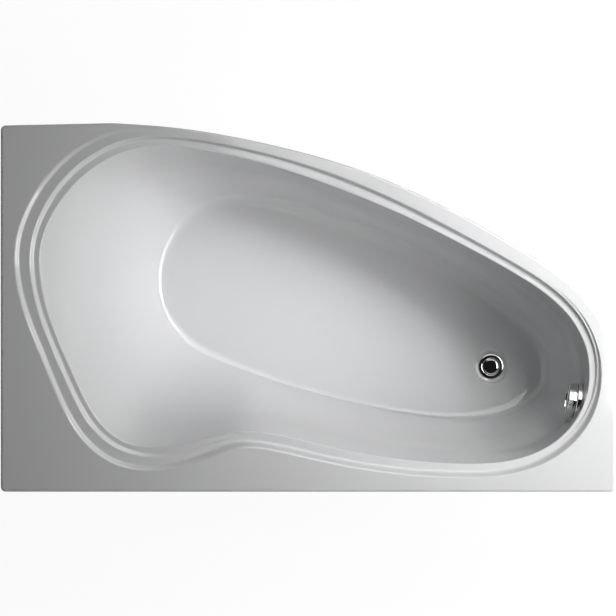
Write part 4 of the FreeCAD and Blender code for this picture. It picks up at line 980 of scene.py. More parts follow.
    @staticmethod
    def _down_weights(down: np.ndarray) -> np.ndarray:
        """Weights of a clamped quadratic spline's rings.

        Args:
            down: Places from the deck to the floor.

        Returns:
            A row of weights for each place.
        """
        knots = np.concatenate([[0, 0], np.arange(SPANS + 1), [SPANS, SPANS]]).astype(float)
        t = np.minimum(down, SPANS - 1e-9)[:, None]
        basis = ((knots[:-1] <= t) & (t < knots[1:])).astype(float)
        for degree in (1, 2):
            rise = knots[degree:-1] - knots[: -degree - 1]
            fall = knots[degree + 1 :] - knots[1:-degree]
            none = np.zeros((len(t), len(rise)))
            left = np.divide(t - knots[: -degree - 1], rise, out=none.copy(), where=rise > 0)
            right = np.divide(knots[degree + 1 :] - t, fall, out=none.copy(), where=fall > 0)
            basis = left * basis[:, :-1] + right * basis[:, 1:]
        return basis


@dataclass
class Rim:
    """The rim's outline: two walled sides, a curved front and rounded corners."""

    corner_radius: float = 0.012
    spacing: float = 0.008
    curve_steps: int = 12
    corner_steps: int = 8
    points: np.ndarray = field(init=False)
    normals: np.ndarray = field(init=False)

    def __post_init__(self) -> None:
        """Works out the outline's points and outward normals."""
        front = (np.array(FRONT[::-1]) - 0.5) * (LENGTH, WIDTH)
        low, right, head = (np.array([(0, 0), (1, 0), HEAD_CORNER]) - 0.5) * (LENGTH, WIDTH)
        curve = self._curve(front)
        route = [*self._corner(head, low, right), *self._corner(low, right, curve[0])]
        route += [*curve, *self._corner(curve[-1], head, low)]
        self.points = self._spaced(np.array(route))
        along = np.roll(self.points, -1, 0) - np.roll(self.points, 1, 0)
        normals = np.stack([along[:, 1], -along[:, 0]], 1)
        self.normals = normals / np.linalg.norm(normals, axis=1)[:, None]

    def _curve(self, points: np.ndarray) -> np.ndarray:
        """A natural cubic spline through points.

        Args:
            points: The points.

        Returns:
            Closer points along the curve.
        """
        steps = np.linalg.norm(np.diff(points, axis=0), axis=1)
        count = len(points)
        system = np.eye(count)
        right = np.zeros((count, 2))
        slopes = np.diff(points, axis=0) / steps[:, None]
        for i in range(1, count - 1):
            system[i, i - 1 : i + 2] = steps[i - 1], 2 * (steps[i - 1] + steps[i]), steps[i]
            right[i] = 6 * (slopes[i] - slopes[i - 1])
        bend = np.linalg.solve(system, right)
        result = []
        for i, step in enumerate(steps):
            for b in np.linspace(0.0, 1.0, self.curve_steps, endpoint=False):
                a = 1.0 - b
                curl = ((a**3 - a) * bend[i] + (b**3 - b) * bend[i + 1]) * step * step / 6.0
                result.append(a * points[i] + b * points[i + 1] + curl)
        return np.array([*result, points[-1]])

    def _corner(self, before: np.ndarray, corner: np.ndarray, after: np.ndarray) -> list[np.ndarray]:
        """Rounds a corner.

        Args:
            before: The corner before it.
            corner: The corner.
            after: The corner after it.

        Returns:
            Points of the arc.
        """
        back = (before - corner) / np.linalg.norm(before - corner)
        on = (after - corner) / np.linalg.norm(after - corner)
        half = math.acos(float(np.clip(back @ on, -1, 1))) / 2
        reach = self.corner_radius / math.tan(half)
        centre = corner + (back + on) / np.linalg.norm(back + on) * self.corner_radius / math.sin(half)
        first, last = corner + back * reach - centre, corner + on * reach - centre
        turn = math.pi - 2 * half
        points = []
        for share in np.linspace(0.0, 1.0, self.corner_steps + 1):
            arm = math.sin((1 - share) * turn) * first + math.sin(share * turn) * last
            points.append(centre + arm / math.sin(turn))
        return points

    def _spaced(self, route: np.ndarray) -> np.ndarray:
        """Adds points on long runs of a closed route.

        Args:
            route: The route's points.

        Returns:
            The points, none further apart than the spacing.
        """
        result = []
        for point, after in zip(route, np.roll(route, -1, 0)):
            count = max(1, round(float(np.linalg.norm(after - point)) / self.spacing))
            result += [point + (after - point) * i / count for i in range(count)]
        return np.array(result)

    def loop(self, inset: float, height: float) -> np.ndarray:
        """The outline moved inwards, at a height."""
        plan = self.points - self.normals * inset
        return np.column_stack([plan, np.full(len(plan), height)])


@dataclass
class Bath:
    """The white moulded shell: deck with its turned-down skirt, stepped basin and waste dish."""

    skirt: float = 0.040
    edge_radius: float = 0.006
    edge_steps: int = 9
    skirt_outside: Steps = ((0.0, 0.0008), (0.0003, 0.0002), (0.001, 0.0))
    skirt_inside: Steps = ((0.001, 0.0), (0.0002, 0.0004), (0.0, 0.001))
    skirt_root: Steps = ((0.0, 0.002), (0.0006, 0.0006), (0.002, 0.0))
    dish_height: float = 0.164
    dish_edge: Steps = ((0.0471, 0.0), (0.0465, 0.0), (0.0458, 0.0001), (0.0452, 0.0004), (0.0446, 0.0010))
    dish_foot: Steps = ((0.0412, 0.0010), (0.0406, 0.0003), (0.0396, 0.0))
    dish_points: int = 96
    hole_radius: float = 0.026
    hole_edge: float = 0.0006
    boss_radius: float = 0.047
    seat_radius: float = 0.049
    seat_blend: float = 0.016
    seat_depth: float = 0.06
    overflow_hole: float = 0.029
    hole_points: int = 72
    cut_span: tuple[float, float] = (-0.03, 0.02)
    margin: float = 0.0006
    crease: float = 50.0
    station_points: int = 12
    overflow_stations: tuple[int, ...] = (14, 15, 16)
    underside_thinning: int = 4
    span_points: tuple[int, ...] = (4, 6, 3, 6, 4, 6, 3, 6, 6, 10, 16, 20, 22, 16)
    basin: Basin = field(default_factory=Basin)
    rim: Rim = field(default_factory=Rim)

    def _around(self) -> np.ndarray:
        """Places round the basin, closer together at the overflow.

        Returns:
            The places, in stations.
        """
        spans = []
        for station in range(len(STATIONS)):
            count = self.station_points * (2 if station in self.overflow_stations else 1)
            spans.append(station + np.arange(count) / count)
        return np.concatenate(spans)

    def _down(self, thinning: int = 1) -> np.ndarray:
        """Places down the basin, closer together over the steps and the fillets.

        Args:
            thinning: How many times fewer they are than the most.

        Returns:
            The places, from the deck to the floor.
        """
        counts = [max(2, count // thinning) for count in self.span_points]
        places = [span + np.arange(count) / count for span, count in enumerate(counts)]
        return np.append(np.concatenate(places), SPANS)

    def _seated(self, loops: np.ndarray, depth: float) -> np.ndarray:
        """Flattens the wall round the overflow.

        Args:
            loops: The surface's points.
            depth: How far behind the seat's face the flat part lies.

        Returns:
            The points, with the seat in them.
        """
        axis = np.array(SEAT_AXIS)
        arm = loops - np.array(SEAT_POINT)
        along = arm @ axis
        radius = np.linalg.norm(arm - along[..., None] * axis, axis=-1)
        share = 1.0 - smooth_step((radius - self.seat_radius) / self.seat_blend)
        share = np.where(np.abs(along) < self.seat_depth, share, 0.0)
        return loops - ((along + depth) * share)[..., None] * axis

    def build(self) -> bpy.types.Object:
        """Makes the shell.

        Returns:
            The shell's object.
        """
        mesh = LoopMesh()
        around = self._around()
        inner = self._seated(self.basin.loops(0.0, around, self._down()), 0.0)
        outwards = (inner[0] - inner[1]) * (1.0, 1.0, 0.0)
        outwards /= np.linalg.norm(outwards, axis=1)[:, None]
        inner = np.concatenate([[inner[0] + self.margin * outwards], inner])
        outer = self.basin.loops(SHELL, around, self._down(self.underside_thinning))
        outer = self._seated(outer, SHELL)
        deck_loop, floor_loop = mesh.band(inner)
        under_loop, base_loop = mesh.band(outer)
        rim_first, rim_last = mesh.band(self.rim.loop(*row) for row in self._skirt_profile())
        mesh.sheet(rim_first, deck_loop)
        mesh.sheet(rim_last, under_loop)
        self._add_dish(mesh, floor_loop, base_loop)
        shell = mesh.build("bath_shell", Palette.acrylic.value, self.crease)
        self._cut_overflow(shell)
        return shell

    def _skirt_profile(self) -> Profile:
        """The turned-down skirt, from the deck's top round its foot to the deck's underside.

        Returns:
            Insets from the outline, and heights.
        """
        edge, low, under = self.edge_radius, DECK - self.skirt, DECK - SHELL
        turns = np.radians(np.linspace(0, 90, self.edge_steps + 1))
        profile = [(edge + self.margin, DECK)]
        profile += [(edge * (1 - math.sin(a)), DECK - edge * (1 - math.cos(a))) for a in turns]
        profile += [(inset, low + rise) for inset, rise in self.skirt_outside]
        profile += [(SHELL - back, low + rise) for back, rise in self.skirt_inside]
        profile += [(SHELL + inset, under - drop) for inset, drop in self.skirt_root]
        return profile

    def _floor_ring(self, radius: float, drop: float) -> list[Point]:
        """A circle round the waste, a little under the sloping floor."""
        points = ring(radius, 0.0, self.dish_points)
        return [(x, y, float(floor_plane(x)) - drop) for x, y, _ in points]

    def _add_dish(self, mesh: LoopMesh, floor_loop: range, base_loop: range) -> None:
        """Adds the floor, the dish round the waste, its hole and the boss under it.

        Args:
            mesh: The shell's mesh.
            floor_loop: The basin's last loop on the upper side.
            base_loop: The basin's last loop on the underside.
        """
        flat, hole, boss, soft = self.dish_height, self.hole_radius, self.boss_radius, self.hole_edge
        under = flat - SHELL
        levels = [(radius, flat + rise) for radius, rise in self.dish_foot]
        levels += [(hole + soft, flat), (hole, flat - soft), (hole, under)]
        levels += [(boss - soft, under), (boss, under + soft)]
        rings = [self._floor_ring(radius, drop) for radius, drop in self.dish_edge]
        rings += [ring(radius, height, self.dish_points) for radius, height in levels]
        first, last = mesh.band([*rings, self._floor_ring(boss, SHELL)])
        mesh.sheet(floor_loop, first)
        mesh.sheet(base_loop, last)

    def _cut_overflow(self, shell: bpy.types.Object) -> None:
        """Cuts the overflow's hole through the wall.

        Args:
            shell: The shell's object.
        """
        cutter = LoopMesh()
        cutter.solid(ON_WALL.circle(self.overflow_hole, depth, self.hole_points) for depth in self.cut_span)
        tool = cutter.build("overflow_cutter", Palette.acrylic.value)
        cut = shell.modifiers.new("overflow_hole", "BOOLEAN")
        cut.operation = "DIFFERENCE"
        cut.solver = "EXACT"
        cut.object = tool
        graph = bpy.context.evaluated_depsgraph_get()
        mesh = bpy.data.meshes.new_from_object(shell.evaluated_get(graph))
        shell.modifiers.clear()
        shell.data = mesh
        bpy.data.objects.remove(tool)
        mesh.set_sharp_from_angle(angle=math.radians(self.crease))


# Chromed fittings


@dataclass
class WasteSet:
    """Chromed waste flange with its spider, and the plug's cap that lies in it."""

    radius: float = 0.0327
    seat: float = 0.1655
    crest: float = 0.1688
    edge: float = 0.0011
    crown: Steps = ((0.0290, 0.0), (0.0262, 0.0001))
    crown_rise: float = 0.0003
    foot_inset: float = 0.0004
    pocket: float = 0.0230
    pocket_edge: float = 0.0010
    pocket_floor: float = 0.1625
    pocket_bevel: tuple[float, float] = (0.0006, 0.0007)
    bore: float = 0.0205
    tube: float = 0.0250
    tube_end: float = 0.1415
    hub_top: float = 0.1584
    hub_depth: float = 0.008
    hub_bore: float = 0.00306
    hub_radius: float = 0.006
    spokes: int = 3
    spoke_half: float = 0.0015
    spoke_depth: float = 0.005
    spoke_bevel: float = 0.0004
    spoke_overlap: tuple[float, float] = (0.0005, 0.001)
    cap_radius: float = 0.0224
    cap_low: float = 0.1654
    cap_top: float = 0.1693
    cap_edge: float = 0.0012
    cap_edge_rise: float = 0.0014
    cap_foot_inset: float = 0.0006
    cap_step: Steps = ((0.0034, 0.0010), (0.0040, 0.0005), (0.0046, 0.0004))
    cap_crown: Steps = ((0.0120, 0.0001), (0.0060, 0.0), (0.0, 0.0))
    boss_radius: float = 0.0065
    boss_depth: float = 0.006
    boss_edge: float = 0.0005
    facets: int = 128
    hub_facets: int = 32

    def flange(self) -> bpy.types.Object:
        """The flange: a nearly flat bright ring, a pocket, a tube and three spokes.

        Returns:
            The flange's object.
        """
        mesh = LoopMesh()
        floor, edge, lip = self.pocket_floor, self.edge, self.pocket_edge
        shoulder = self.crest - self.crown_rise
        bevel_inset, bevel_rise = self.pocket_bevel
        profile = [(self.bore, self.tube_end), (self.tube, self.tube_end), (self.tube, self.seat)]
        profile += [(self.radius - self.foot_inset, self.seat)]
        profile += arc((self.radius - edge, shoulder - edge), edge, -20, 84)
        profile += [(radius, self.crest - drop) for radius, drop in self.crown]
        profile += arc((self.pocket + lip, shoulder - lip), lip, 92, 180)
        profile += [(self.pocket, floor + bevel_rise), (self.pocket - bevel_inset, floor), (self.bore, floor)]
        turned(mesh, UPRIGHT, profile, self.facets)
        bore, hub, top = self.hub_bore, self.hub_radius, self.hub_top
        low = top - self.hub_depth
        turned(mesh, UPRIGHT, [(bore, low), (hub, low), (hub, top), (bore, top)], self.hub_facets)
        at_hub, at_tube = self.spoke_overlap
        start = (hub - at_hub, -self.spoke_half, top - self.spoke_depth)
        end = (self.bore + at_tube, self.spoke_half, top)
        for spoke in range(self.spokes):
            angle = 2 * math.pi * spoke / self.spokes
            across = Vector((math.cos(angle), math.sin(angle), 0))
            bar(mesh, Seating(WASTE, UPRIGHT.axis, across), start, end, self.spoke_bevel)
        return mesh.build("waste_flange_ring", Palette.chrome.value)

    def cap(self) -> bpy.types.Object:
        """The plug's cap: a shallow disc with a rounded edge, a fine step near it and a boss below.

        Returns:
            The cap's object.
        """
        r, low, top, boss = self.cap_radius, self.cap_low, self.cap_top, self.boss_radius
        foot = low - self.boss_depth
        profile = [(0.0, foot), (boss - self.boss_edge, foot), (boss, foot + self.boss_edge), (boss, low)]
        profile += [(r - self.cap_foot_inset, low)]
        profile += arc((r - self.cap_edge, low + self.cap_edge_rise), self.cap_edge, -40, 80)
        profile += [(r - inset, top - drop) for inset, drop in self.cap_step]
        profile += [(radius, top - drop) for radius, drop in self.cap_crown]
        mesh = LoopMesh()
        turned(mesh, UPRIGHT, profile, self.facets)
        return mesh.build("plug_cap_disc", Palette.chrome.value)


@dataclass
class OverflowSet:
    """Chromed rosette on the wall and the turning knob with its grooves and grip."""

    rosette_radius: float = 0.0455
    rosette_low: float = 0.0015
    rosette_high: float = 0.0115
    radius: float = 0.0430
    low: float = 0.0125
    high: float = 0.0315
    edge: float = 0.0010
    groove_setback: float = 0.0030
    groove_pitch: float = 0.0032
    groove_width: float = 0.0016
    groove_depth: float = 0.0008
    grip_depth: float = 0.0070
    dish_radius: float = 0.0380
    taper: float = 0.0030
    taper_start: float = 0.0200
    wall: float = 0.0030
    soft: float = 0.0003
    spindle_hole: float = 0.00406
    hole_mouth: float = 0.0046
    hole_bevel: float = 0.0005
    screw_well: float = 0.0090
    well_back: float = 0.0010
    hub_bore: float = 0.0041
    hub_radius: float = 0.0080
    back_edge: float = 0.0008
    face_edge: float = 0.0020
    face_lip: Steps = ((0.0008, 0.0), (0.0002, 0.0003), (0.0, 0.0010))
    hub_bevel: float = 0.0002
    grip_half: float = 0.0060
    grip_bevel: float = 0.0016
    grip_sunk: float = 0.0004
    grip_setback: float = 0.0002
    grip_places: int = 25
    grooves: int = 3
    land_points: int = 7
    rosette_facets: int = 128
    knob_facets: int = 160

    def _drum(self, height: float) -> float:
        """Radius of the knob's drum at a height, narrowing towards its front."""
        share = max(0.0, height - self.taper_start) / (self.high - self.taper_start)
        return self.radius - self.taper * share

    def rosette(self) -> bpy.types.Object:
        """The cover on the wall, with its rounded edge.

        Returns:
            The cover's object.
        """
        r, low, high, wall = self.rosette_radius, self.rosette_low, self.rosette_high, self.wall
        hole, well, back = self.spindle_hole, self.screw_well, low + self.well_back
        profile = [(r - wall, low), (r, low)]
        profile += arc((r - wall, high - wall), wall, 0, 90)
        profile += [(self.hole_mouth, high), (hole, high - self.hole_bevel), (hole, back), (well, back)]
        profile += [(well, high - wall), (r - wall, high - wall)]
        mesh = LoopMesh()
        turned(mesh, ON_WALL, profile, self.rosette_facets)
        return mesh.build("overflow_rosette_cover", Palette.chrome.value)

    def _grooves(self) -> Profile:
        """Fine grooves round the drum, near its front, with softened lands between them.

        Returns:
            Their part of the drum's profile.
        """
        soft, profile = self.soft, []
        last = self.high - self.groove_setback
        ends = [last - groove * self.groove_pitch for groove in reversed(range(self.grooves))]
        stops = [end - self.groove_width for end in ends[1:]] + [self.high - self.edge]
        for end, stop in zip(ends, stops):
            start = end - self.groove_width
            deep = self._drum(start) - self.groove_depth
            profile += [(self._drum(start) - soft, start), (deep, start + soft), (deep, end - soft)]
            for share in np.linspace(-1.0, 1.0, self.land_points):
                height = end + (stop - end) * (share + 1) / 2
                profile.append((self._drum(height) - soft * share * share, height))
        return profile

    def knob(self) -> bpy.types.Object:
        """The knob: a drum with fine grooves near its front and a dished face.

        Returns:
            The drum's object.
        """
        r, low, high, wall, soft = self.radius, self.low, self.high, self.wall, self.soft
        bore, hub, dish = self.hub_bore, self.hub_radius, self.dish_radius
        back, turn = self.back_edge, self.face_edge
        floor = high - self.grip_depth
        profile = [(bore, low), (hub - self.hub_bevel, low), (hub, low + soft), (hub, floor - wall)]
        profile += [(r - wall, floor - wall), (r - wall, low + soft), (r - wall + soft, low)]
        profile += arc((r - back, low + back), back, -90, 0, 4)
        profile += [(r, self.taper_start), *self._grooves()]
        profile += arc((self._drum(high) - self.edge, high - self.edge), self.edge, 10, 90)
        profile += [(dish + outset, high - drop) for outset, drop in self.face_lip]
        profile += arc((dish - turn, floor + turn), turn, 0, -90, 6)
        profile += [(bore, floor + soft)]
        mesh = LoopMesh()
        turned(mesh, ON_WALL, profile, self.knob_facets)
        return mesh.build("overflow_knob_drum", Palette.chrome.value)

    def grip(self) -> bpy.types.Object:
        """The bar across the knob's dished face, with rounded long edges.

        Returns:
            The bar's object.
        """
        half, bevel, sunk = self.grip_half, self.grip_bevel, self.grip_sunk
        low, edge = self.high - self.grip_depth - sunk, self.high - self.grip_setback - bevel
        outline = [(-half, low), (half, low)]
        outline += arc((half - bevel, edge), bevel, 0, 90, 5)
        outline += arc((bevel - half, edge), bevel, 90, 180, 5)
        places = np.linspace(-1.0, 1.0, self.grip_places) * (self.dish_radius + sunk)
        mesh = LoopMesh()
        mesh.solid([ON_WALL.at(x, y, z) for y, z in outline] for x in places)
        return mesh.build("overflow_knob_grip", Palette.chrome.value)


# Repeated forms


class Pattern:
    """A geometry-node tree that makes a repeated form from named sizes."""

    sizes: dict[str, tuple[str, Any]] = {}
    facets = 24
    wire_facets = 4

    def __init__(self, finish: Finish) -> None:
        """Builds the tree.

        Args:
            finish: The form's finish.
        """
        self.tree = bpy.data.node_groups.new(type(self).__name__, "GeometryNodeTree")
        face = self.tree.interface
        face.new_socket("Geometry", in_out="OUTPUT", socket_type="NodeSocketGeometry")
        face.new_socket("Route", in_out="INPUT", socket_type="NodeSocketGeometry")
        for name, (kind, value) in self.sizes.items():
            face.new_socket(name, in_out="INPUT", socket_type=kind).default_value = value
        self.graph = Graph(self.tree)
        self.entry = self.graph.node("NodeGroupInput")
        real = self.graph.result("GeometryNodeRealizeInstances", Geometry=self.shape())
        dressed = self.graph.result("GeometryNodeSetMaterial", Geometry=real, Material=finish.material())
        self.graph.node("NodeGroupOutput", Geometry=dressed)

    def size(self, name: str) -> Value:
        """A named input of the tree."""
        return self.graph.out(self.entry, name)

    def shape(self) -> Value:
        """Builds the form and gives its geometry."""
        raise NotImplementedError

    def circle(self, radius: Value, count: Value | int) -> Value:
        """A circle about Z, of as many points."""
        kind = "GeometryNodeCurvePrimitiveCircle"
        return self.graph.result(kind, output="Curve", Resolution=count, Radius=radius)

    def ring_of(self, radius: Value, width: Value) -> Value:
        """A thin ring about Z, from its radius and the radius of its wire."""
        path, wire = self.circle(radius, self.facets), self.circle(width, self.wire_facets)
        return self.graph.result("GeometryNodeCurveToMesh", Curve=path, Profile_Curve=wire)

    def copies(self, spots: Value, form: Value, **turn: Value) -> Value:
        """Copies of a form on points."""
        return self.graph.result("GeometryNodeInstanceOnPoints", Points=spots, Instance=form, **turn)

    def turned_to(self, way: Value) -> Value:
        """The turn that points Z along a way."""
        return self.graph.result("FunctionNodeAlignRotationToVector", {"axis": "Z"}, Vector=way)

    def made(self, name: str, route: Sequence[Vector] = (), **values: Any) -> bpy.types.Object:
        """Makes one object by the tree, as a plain mesh.

        Args:
            name: The object's name.
            route: Points of a path that the form follows, or nothing.
            values: Sizes, by their names with _ for a space.

        Returns:
            The object.
        """
        mesh = bpy.data.meshes.new(name)
        mesh.from_pydata([tuple(point) for point in route], [(i, i + 1) for i in range(len(route) - 1)], [])
        piece = linked(name, mesh)
        maker = piece.modifiers.new("maker", "NODES")
        maker.node_group = self.tree
        sockets = self.tree.interface.items_tree
        marks = {item.name: item.identifier for item in sockets if item.in_out == "INPUT"}
        for key, value in values.items():
            maker[marks[key.replace("_", " ")]] = value
        bpy.context.view_layer.update()
        graph = bpy.context.evaluated_depsgraph_get()
        result = bpy.data.meshes.new_from_object(piece.evaluated_get(graph))
        piece.modifiers.clear()
        piece.data = result
        result.shade_smooth()
        result.set_sharp_from_angle(angle=math.radians(CREASE))
        return piece


class HoseRibs(Pattern):
    """Ribs round a hose, all along it."""

    sizes = {
        "Pitch": ("NodeSocketFloat", 0.005),
        "Radius": ("NodeSocketFloat", 0.016),
        "Rib": ("NodeSocketFloat", 0.001),
    }

    def shape(self) -> Value:
        """A thin ring at each step of the route.

        Returns:
            The ribs.
        """
        graph = self.graph
        path = graph.result("GeometryNodeMeshToCurve", Mesh=self.size("Route"))
        by_length = {"mode": "LENGTH"}
        steps = graph.node("GeometryNodeCurveToPoints", by_length, Curve=path, Length=self.size("Pitch"))
        turn = self.turned_to(graph.out(steps, "Tangent"))
        rib = self.ring_of(self.size("Radius"), self.size("Rib"))
        return self.copies(graph.out(steps, "Points"), rib, Rotation=turn)


class ThreadedRod(Pattern):
    """A rod with the crests of its thread, about Z."""

    sizes = {
        "Turns": ("NodeSocketInt", 90),
        "Pitch": ("NodeSocketFloat", 0.00175),
        "Radius": ("NodeSocketFloat", 0.006),
        "Start": ("NodeSocketVector", (0.0, 0.0, 0.0)),
    }
    facets = 20
    core_share = 0.3
    crest_share = 0.4

    def shape(self) -> Value:
        """A core with a ring at each turn.

        Returns:
            The rod, with its lower end at its start.
        """
        graph, line = self.graph, "GeometryNodeMeshLine"
        turns, pitch, radius, start = (self.size(name) for name in self.sizes)
        step = graph.result("ShaderNodeCombineXYZ", Z=pitch)
        spots = graph.result(line, {"mode": "OFFSET"}, Count=turns, Start_Location=start, Offset=step)
        crest = self.ring_of(radius - pitch * self.crest_share, pitch * self.crest_share)
        thread = self.copies(spots, crest)
        length, inner = pitch * turns, radius - pitch * self.core_share
        core = graph.result("GeometryNodeMeshCylinder", Vertices=self.facets, Radius=inner, Depth=length)
        rise = graph.result("ShaderNodeCombineXYZ", Z=(length - pitch) * 0.5)
        centre = graph.result("ShaderNodeVectorMath", {"operation": "ADD"}, in_0=rise, in_1=start)
        moved = graph.result("GeometryNodeTransform", Geometry=core, Translation=centre)
        both = graph.node("GeometryNodeJoinGeometry", Geometry=moved)
        graph.feed(both.inputs[0], thread)
        return graph.out(both)


class NutRibs(Pattern):
    """Grip ribs round a pipe nut."""

    sizes = {
        "Count": ("NodeSocketInt", 24),
        "Radius": ("NodeSocketFloat", 0.0286),
        "Rib": ("NodeSocketFloat", 0.0014),
        "Length": ("NodeSocketFloat", 0.016),
        "Place": ("NodeSocketVector", (0.0, 0.0, 0.0)),
        "Way": ("NodeSocketVector", (0.0, 0.0, 1.0)),
    }
    facets = 8

    def shape(self) -> Value:
        """Half-round ribs round an axis, placed and turned to the nut's axis.

        Returns:
            The ribs.
        """
        graph = self.graph
        count, radius, width, length, spot, way = (self.size(name) for name in self.sizes)
        path = self.circle(radius, count)
        steps = graph.result("GeometryNodeCurveToPoints", {"mode": "EVALUATED"}, "Points", Curve=path)
        rib = graph.result("GeometryNodeMeshCylinder", Vertices=self.facets, Radius=width, Depth=length)
        laid, turn = self.copies(steps, rib), self.turned_to(way)
        return graph.result("GeometryNodeTransform", Geometry=laid, Translation=spot, Rotation=turn)


@dataclass
class Plumbing:
    """Details of the trap, the hose and their nuts."""

    hose_top: Vector = field(default_factory=lambda: Vector((0.7050, -0.2250, 0.460)))
    hose_bend: float = 0.080
    hose_level: float = 0.128
    hose_radius: float = 0.0160
    top_hidden: float = 0.02
    spigot_reach: float = 0.066
    rib: float = 0.0010
    rib_pitch: float = 0.0052
    bend_steps: int = 16
    trap_across: float = 0.08
    inlet_height: float = 0.0945
    swivel_height: float = 0.0810
    outlet_reach: float = 0.043
    outlet_height: float = 0.116

    def hose_route(self) -> list[Vector]:
        """The hose between its nuts.

        Returns:
            Points from its top down and round to the waste.
        """
        top, bend = self.hose_top, self.hose_bend
        way = Vector((top.x - WASTE.x, top.y - WASTE.y, 0)).normalized()
        centre = Vector((top.x, top.y, self.hose_level + bend)) - way * bend
        points = [top - Vector((0, 0, self.top_hidden))]
        for step in range(self.bend_steps + 1):
            angle = math.pi / 2 * step / self.bend_steps
            fall = Vector((0, 0, bend * math.sin(angle)))
            points.append(centre + way * bend * math.cos(angle) - fall)
        points.append(Vector((WASTE.x, WASTE.y, self.hose_level)) + way * self.spigot_reach)
        return points

    def build(self) -> list[bpy.types.Object]:
        """Makes the ribs of the hose and of the nuts.

        Returns:
            The objects.
        """
        sizes = {"Pitch": self.rib_pitch, "Radius": self.hose_radius, "Rib": self.rib}
        pieces = [HoseRibs(Palette.hose.value).made("hose_ribs", self.hose_route(), **sizes)]
        nuts = NutRibs(Palette.white_plastic.value)
        x, y, up = WASTE.x - self.trap_across, WASTE.y, (0.0, 0.0, 1.0)
        spots = (
            ("trap_inlet_nut_ribs", (WASTE.x, y, self.inlet_height), up),
            ("trap_swivel_nut_ribs", (x, y, self.swivel_height), up),
            ("outlet_nut_ribs", (x, y - self.outlet_reach, self.outlet_height), (0.0, -1.0, 0.0)),
        )
        return pieces + [nuts.made(name, Place=place, Way=way) for name, place, way in spots]


@dataclass
class Feet:
    """Threaded rods of the four feet."""

    head: float = -0.2505
    foot: float = 0.3
    wall: float = -0.358
    head_front: float = 0.308
    foot_front: float = 0.158
    low: float = 0.0070
    high: float = 0.1755
    pitch: float = 0.00175

    def build(self) -> list[bpy.types.Object]:
        """Makes the rods, one for each foot.

        Returns:
            The objects, in the feet's order.
        """
        maker = ThreadedRod(Palette.steel.value)
        turns = round((self.high - self.low) / self.pitch)
        places = [(self.head, self.wall), (self.head, self.head_front)]
        places += [(self.foot, self.wall), (self.foot, self.foot_front)]
        rods = []
        for number, (x, y) in enumerate(places, 1):
            start = (x, y, self.low + self.pitch / 2)
            rods.append(maker.made(f"threaded_rod_{number}", Turns=turns, Pitch=self.pitch, Start=start))
        return rods


def placed(piece: bpy.types.Object, body: str, slot: str, *nodes: str) -> None:
    """Lets a piece ride on its body and hides the nodes that it stands for.

    Args:
        piece: The piece.
        body: Its body in the model.
        slot: Its material slot; not used.
        nodes: The nodes that it stands for.
    """
    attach(piece, body)
    if nodes:
        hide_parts(*nodes)
    log.info("piece %s on %s, %d faces", piece.name, body, len(piece.data.polygons))


# Studio


@dataclass(frozen=True)
class Lamp:
    """One soft lamp of the studio."""

    name: str
    place: Point
    aim: Point
    size: tuple[float, float]
    power: float
    spread: float = 180.0


LAMPS = (
    Lamp("near_panel", (1.35, 0.0, 1.5), (0.0, 0.0, 0.45), (0.6, 1.4), 14.0),
    Lamp("high_panel", (1.3, 1.2, 3.0), (0.0, 0.0, 0.45), (0.8, 0.8), 29.0),
    Lamp("side_panel", (1.9, -0.9, 1.9), (0.0, 0.0, 0.45), (1.0, 1.0), 19.0),
    Lamp("basin_beam", (2.2, 0.4, 3.2), (-0.1, 0.0, 0.2), (0.6, 0.5), 0.55, 18.0),
)


@dataclass(frozen=True)
class GlowingCloth(Finish):
    """A glowing sheet that is no lamp, for painted highlights: the studio places it where only gloss and
    chrome see it.
    """

    glow: float = 1.9

    @property
    def title(self) -> str:
        """A name for each glow."""
        return f"GlowingCloth_{self.glow}"

    def shader(self, graph: Graph) -> Value:
        """Painted highlight light, a little uneven."""
        tone = graph.blend(graph.noise(graph.place(), 1.5, 1.0), (0.92,) * 3, (1.0,) * 3)
        return graph.result("ShaderNodeEmission", Color=tone, Strength=self.glow)


@dataclass(frozen=True)
class PaintedDarkReflection(Finish):
    """A black sheet for a painted dark reflection: the studio places it where only gloss and chrome see it.
    """

    def surface(self, graph: Graph) -> Surface:
        """Dull black with a faint uneven pattern, for the painted dark reflection.

        Args:
            graph: The material's tree.

        Returns:
            The shader's inputs, the height pattern and its depth.
        """
        pile = graph.noise(graph.place(), 40.0, 2.0)
        return {"Base Color": graph.blend(pile, (0.004,) * 3, (0.01,) * 3), "Roughness": 0.9}, None, 0.0


@dataclass(frozen=True)
class Paper(Finish):
    """Pale floor that the camera sees as white paper with the object's shadow."""

    tone: float = 0.80
    shine: float = 0.85
    grain: float = 0.01
    glow: float = 1.1
    near: float = 2.0
    fade: float = 0.5

    def shader(self, graph: Graph) -> Value:
        """Plain paper, and for the camera brighter paper.

        Args:
            graph: The material's tree.

        Returns:
            The shader.
        """
        grain = graph.noise(graph.place(), 6.0, 3.0)
        white = graph.blend(grain, (self.tone - self.grain,) * 3, (self.tone,) * 3)
        paper = graph.result("ShaderNodeBsdfDiffuse", Color=white)
        glow = graph.result("ShaderNodeEmission", Color=(1.0, 1.0, 1.0, 1.0), Strength=self.glow)
        reach = graph.result("ShaderNodeVectorMath", {"operation": "LENGTH"}, "Value", in_0=graph.place())
        share = self.shine + (1.0 - self.shine) * ((reach - self.near) * self.fade).kept(0.0, 1.0)
        return graph.result("ShaderNodeMixShader", in_0=direct_sight(graph) * share, in_1=paper, in_2=glow)


def direct_sight(graph: Graph) -> Value:
    """Tells how the light of a surface is seen.

    Args:
        graph: The tree that asks.

    Returns:
        One where the camera sees the surface, itself or in gloss or glass, or else zero.
    """
    path = graph.node("ShaderNodeLightPath")
    kinds = ("Camera", "Glossy", "Transmission")
    camera, gloss, glass = (graph.out(path, f"Is {kind} Ray") for kind in kinds)
    return graph.maths("MAXIMUM", camera, graph.maths("MAXIMUM", gloss, glass))


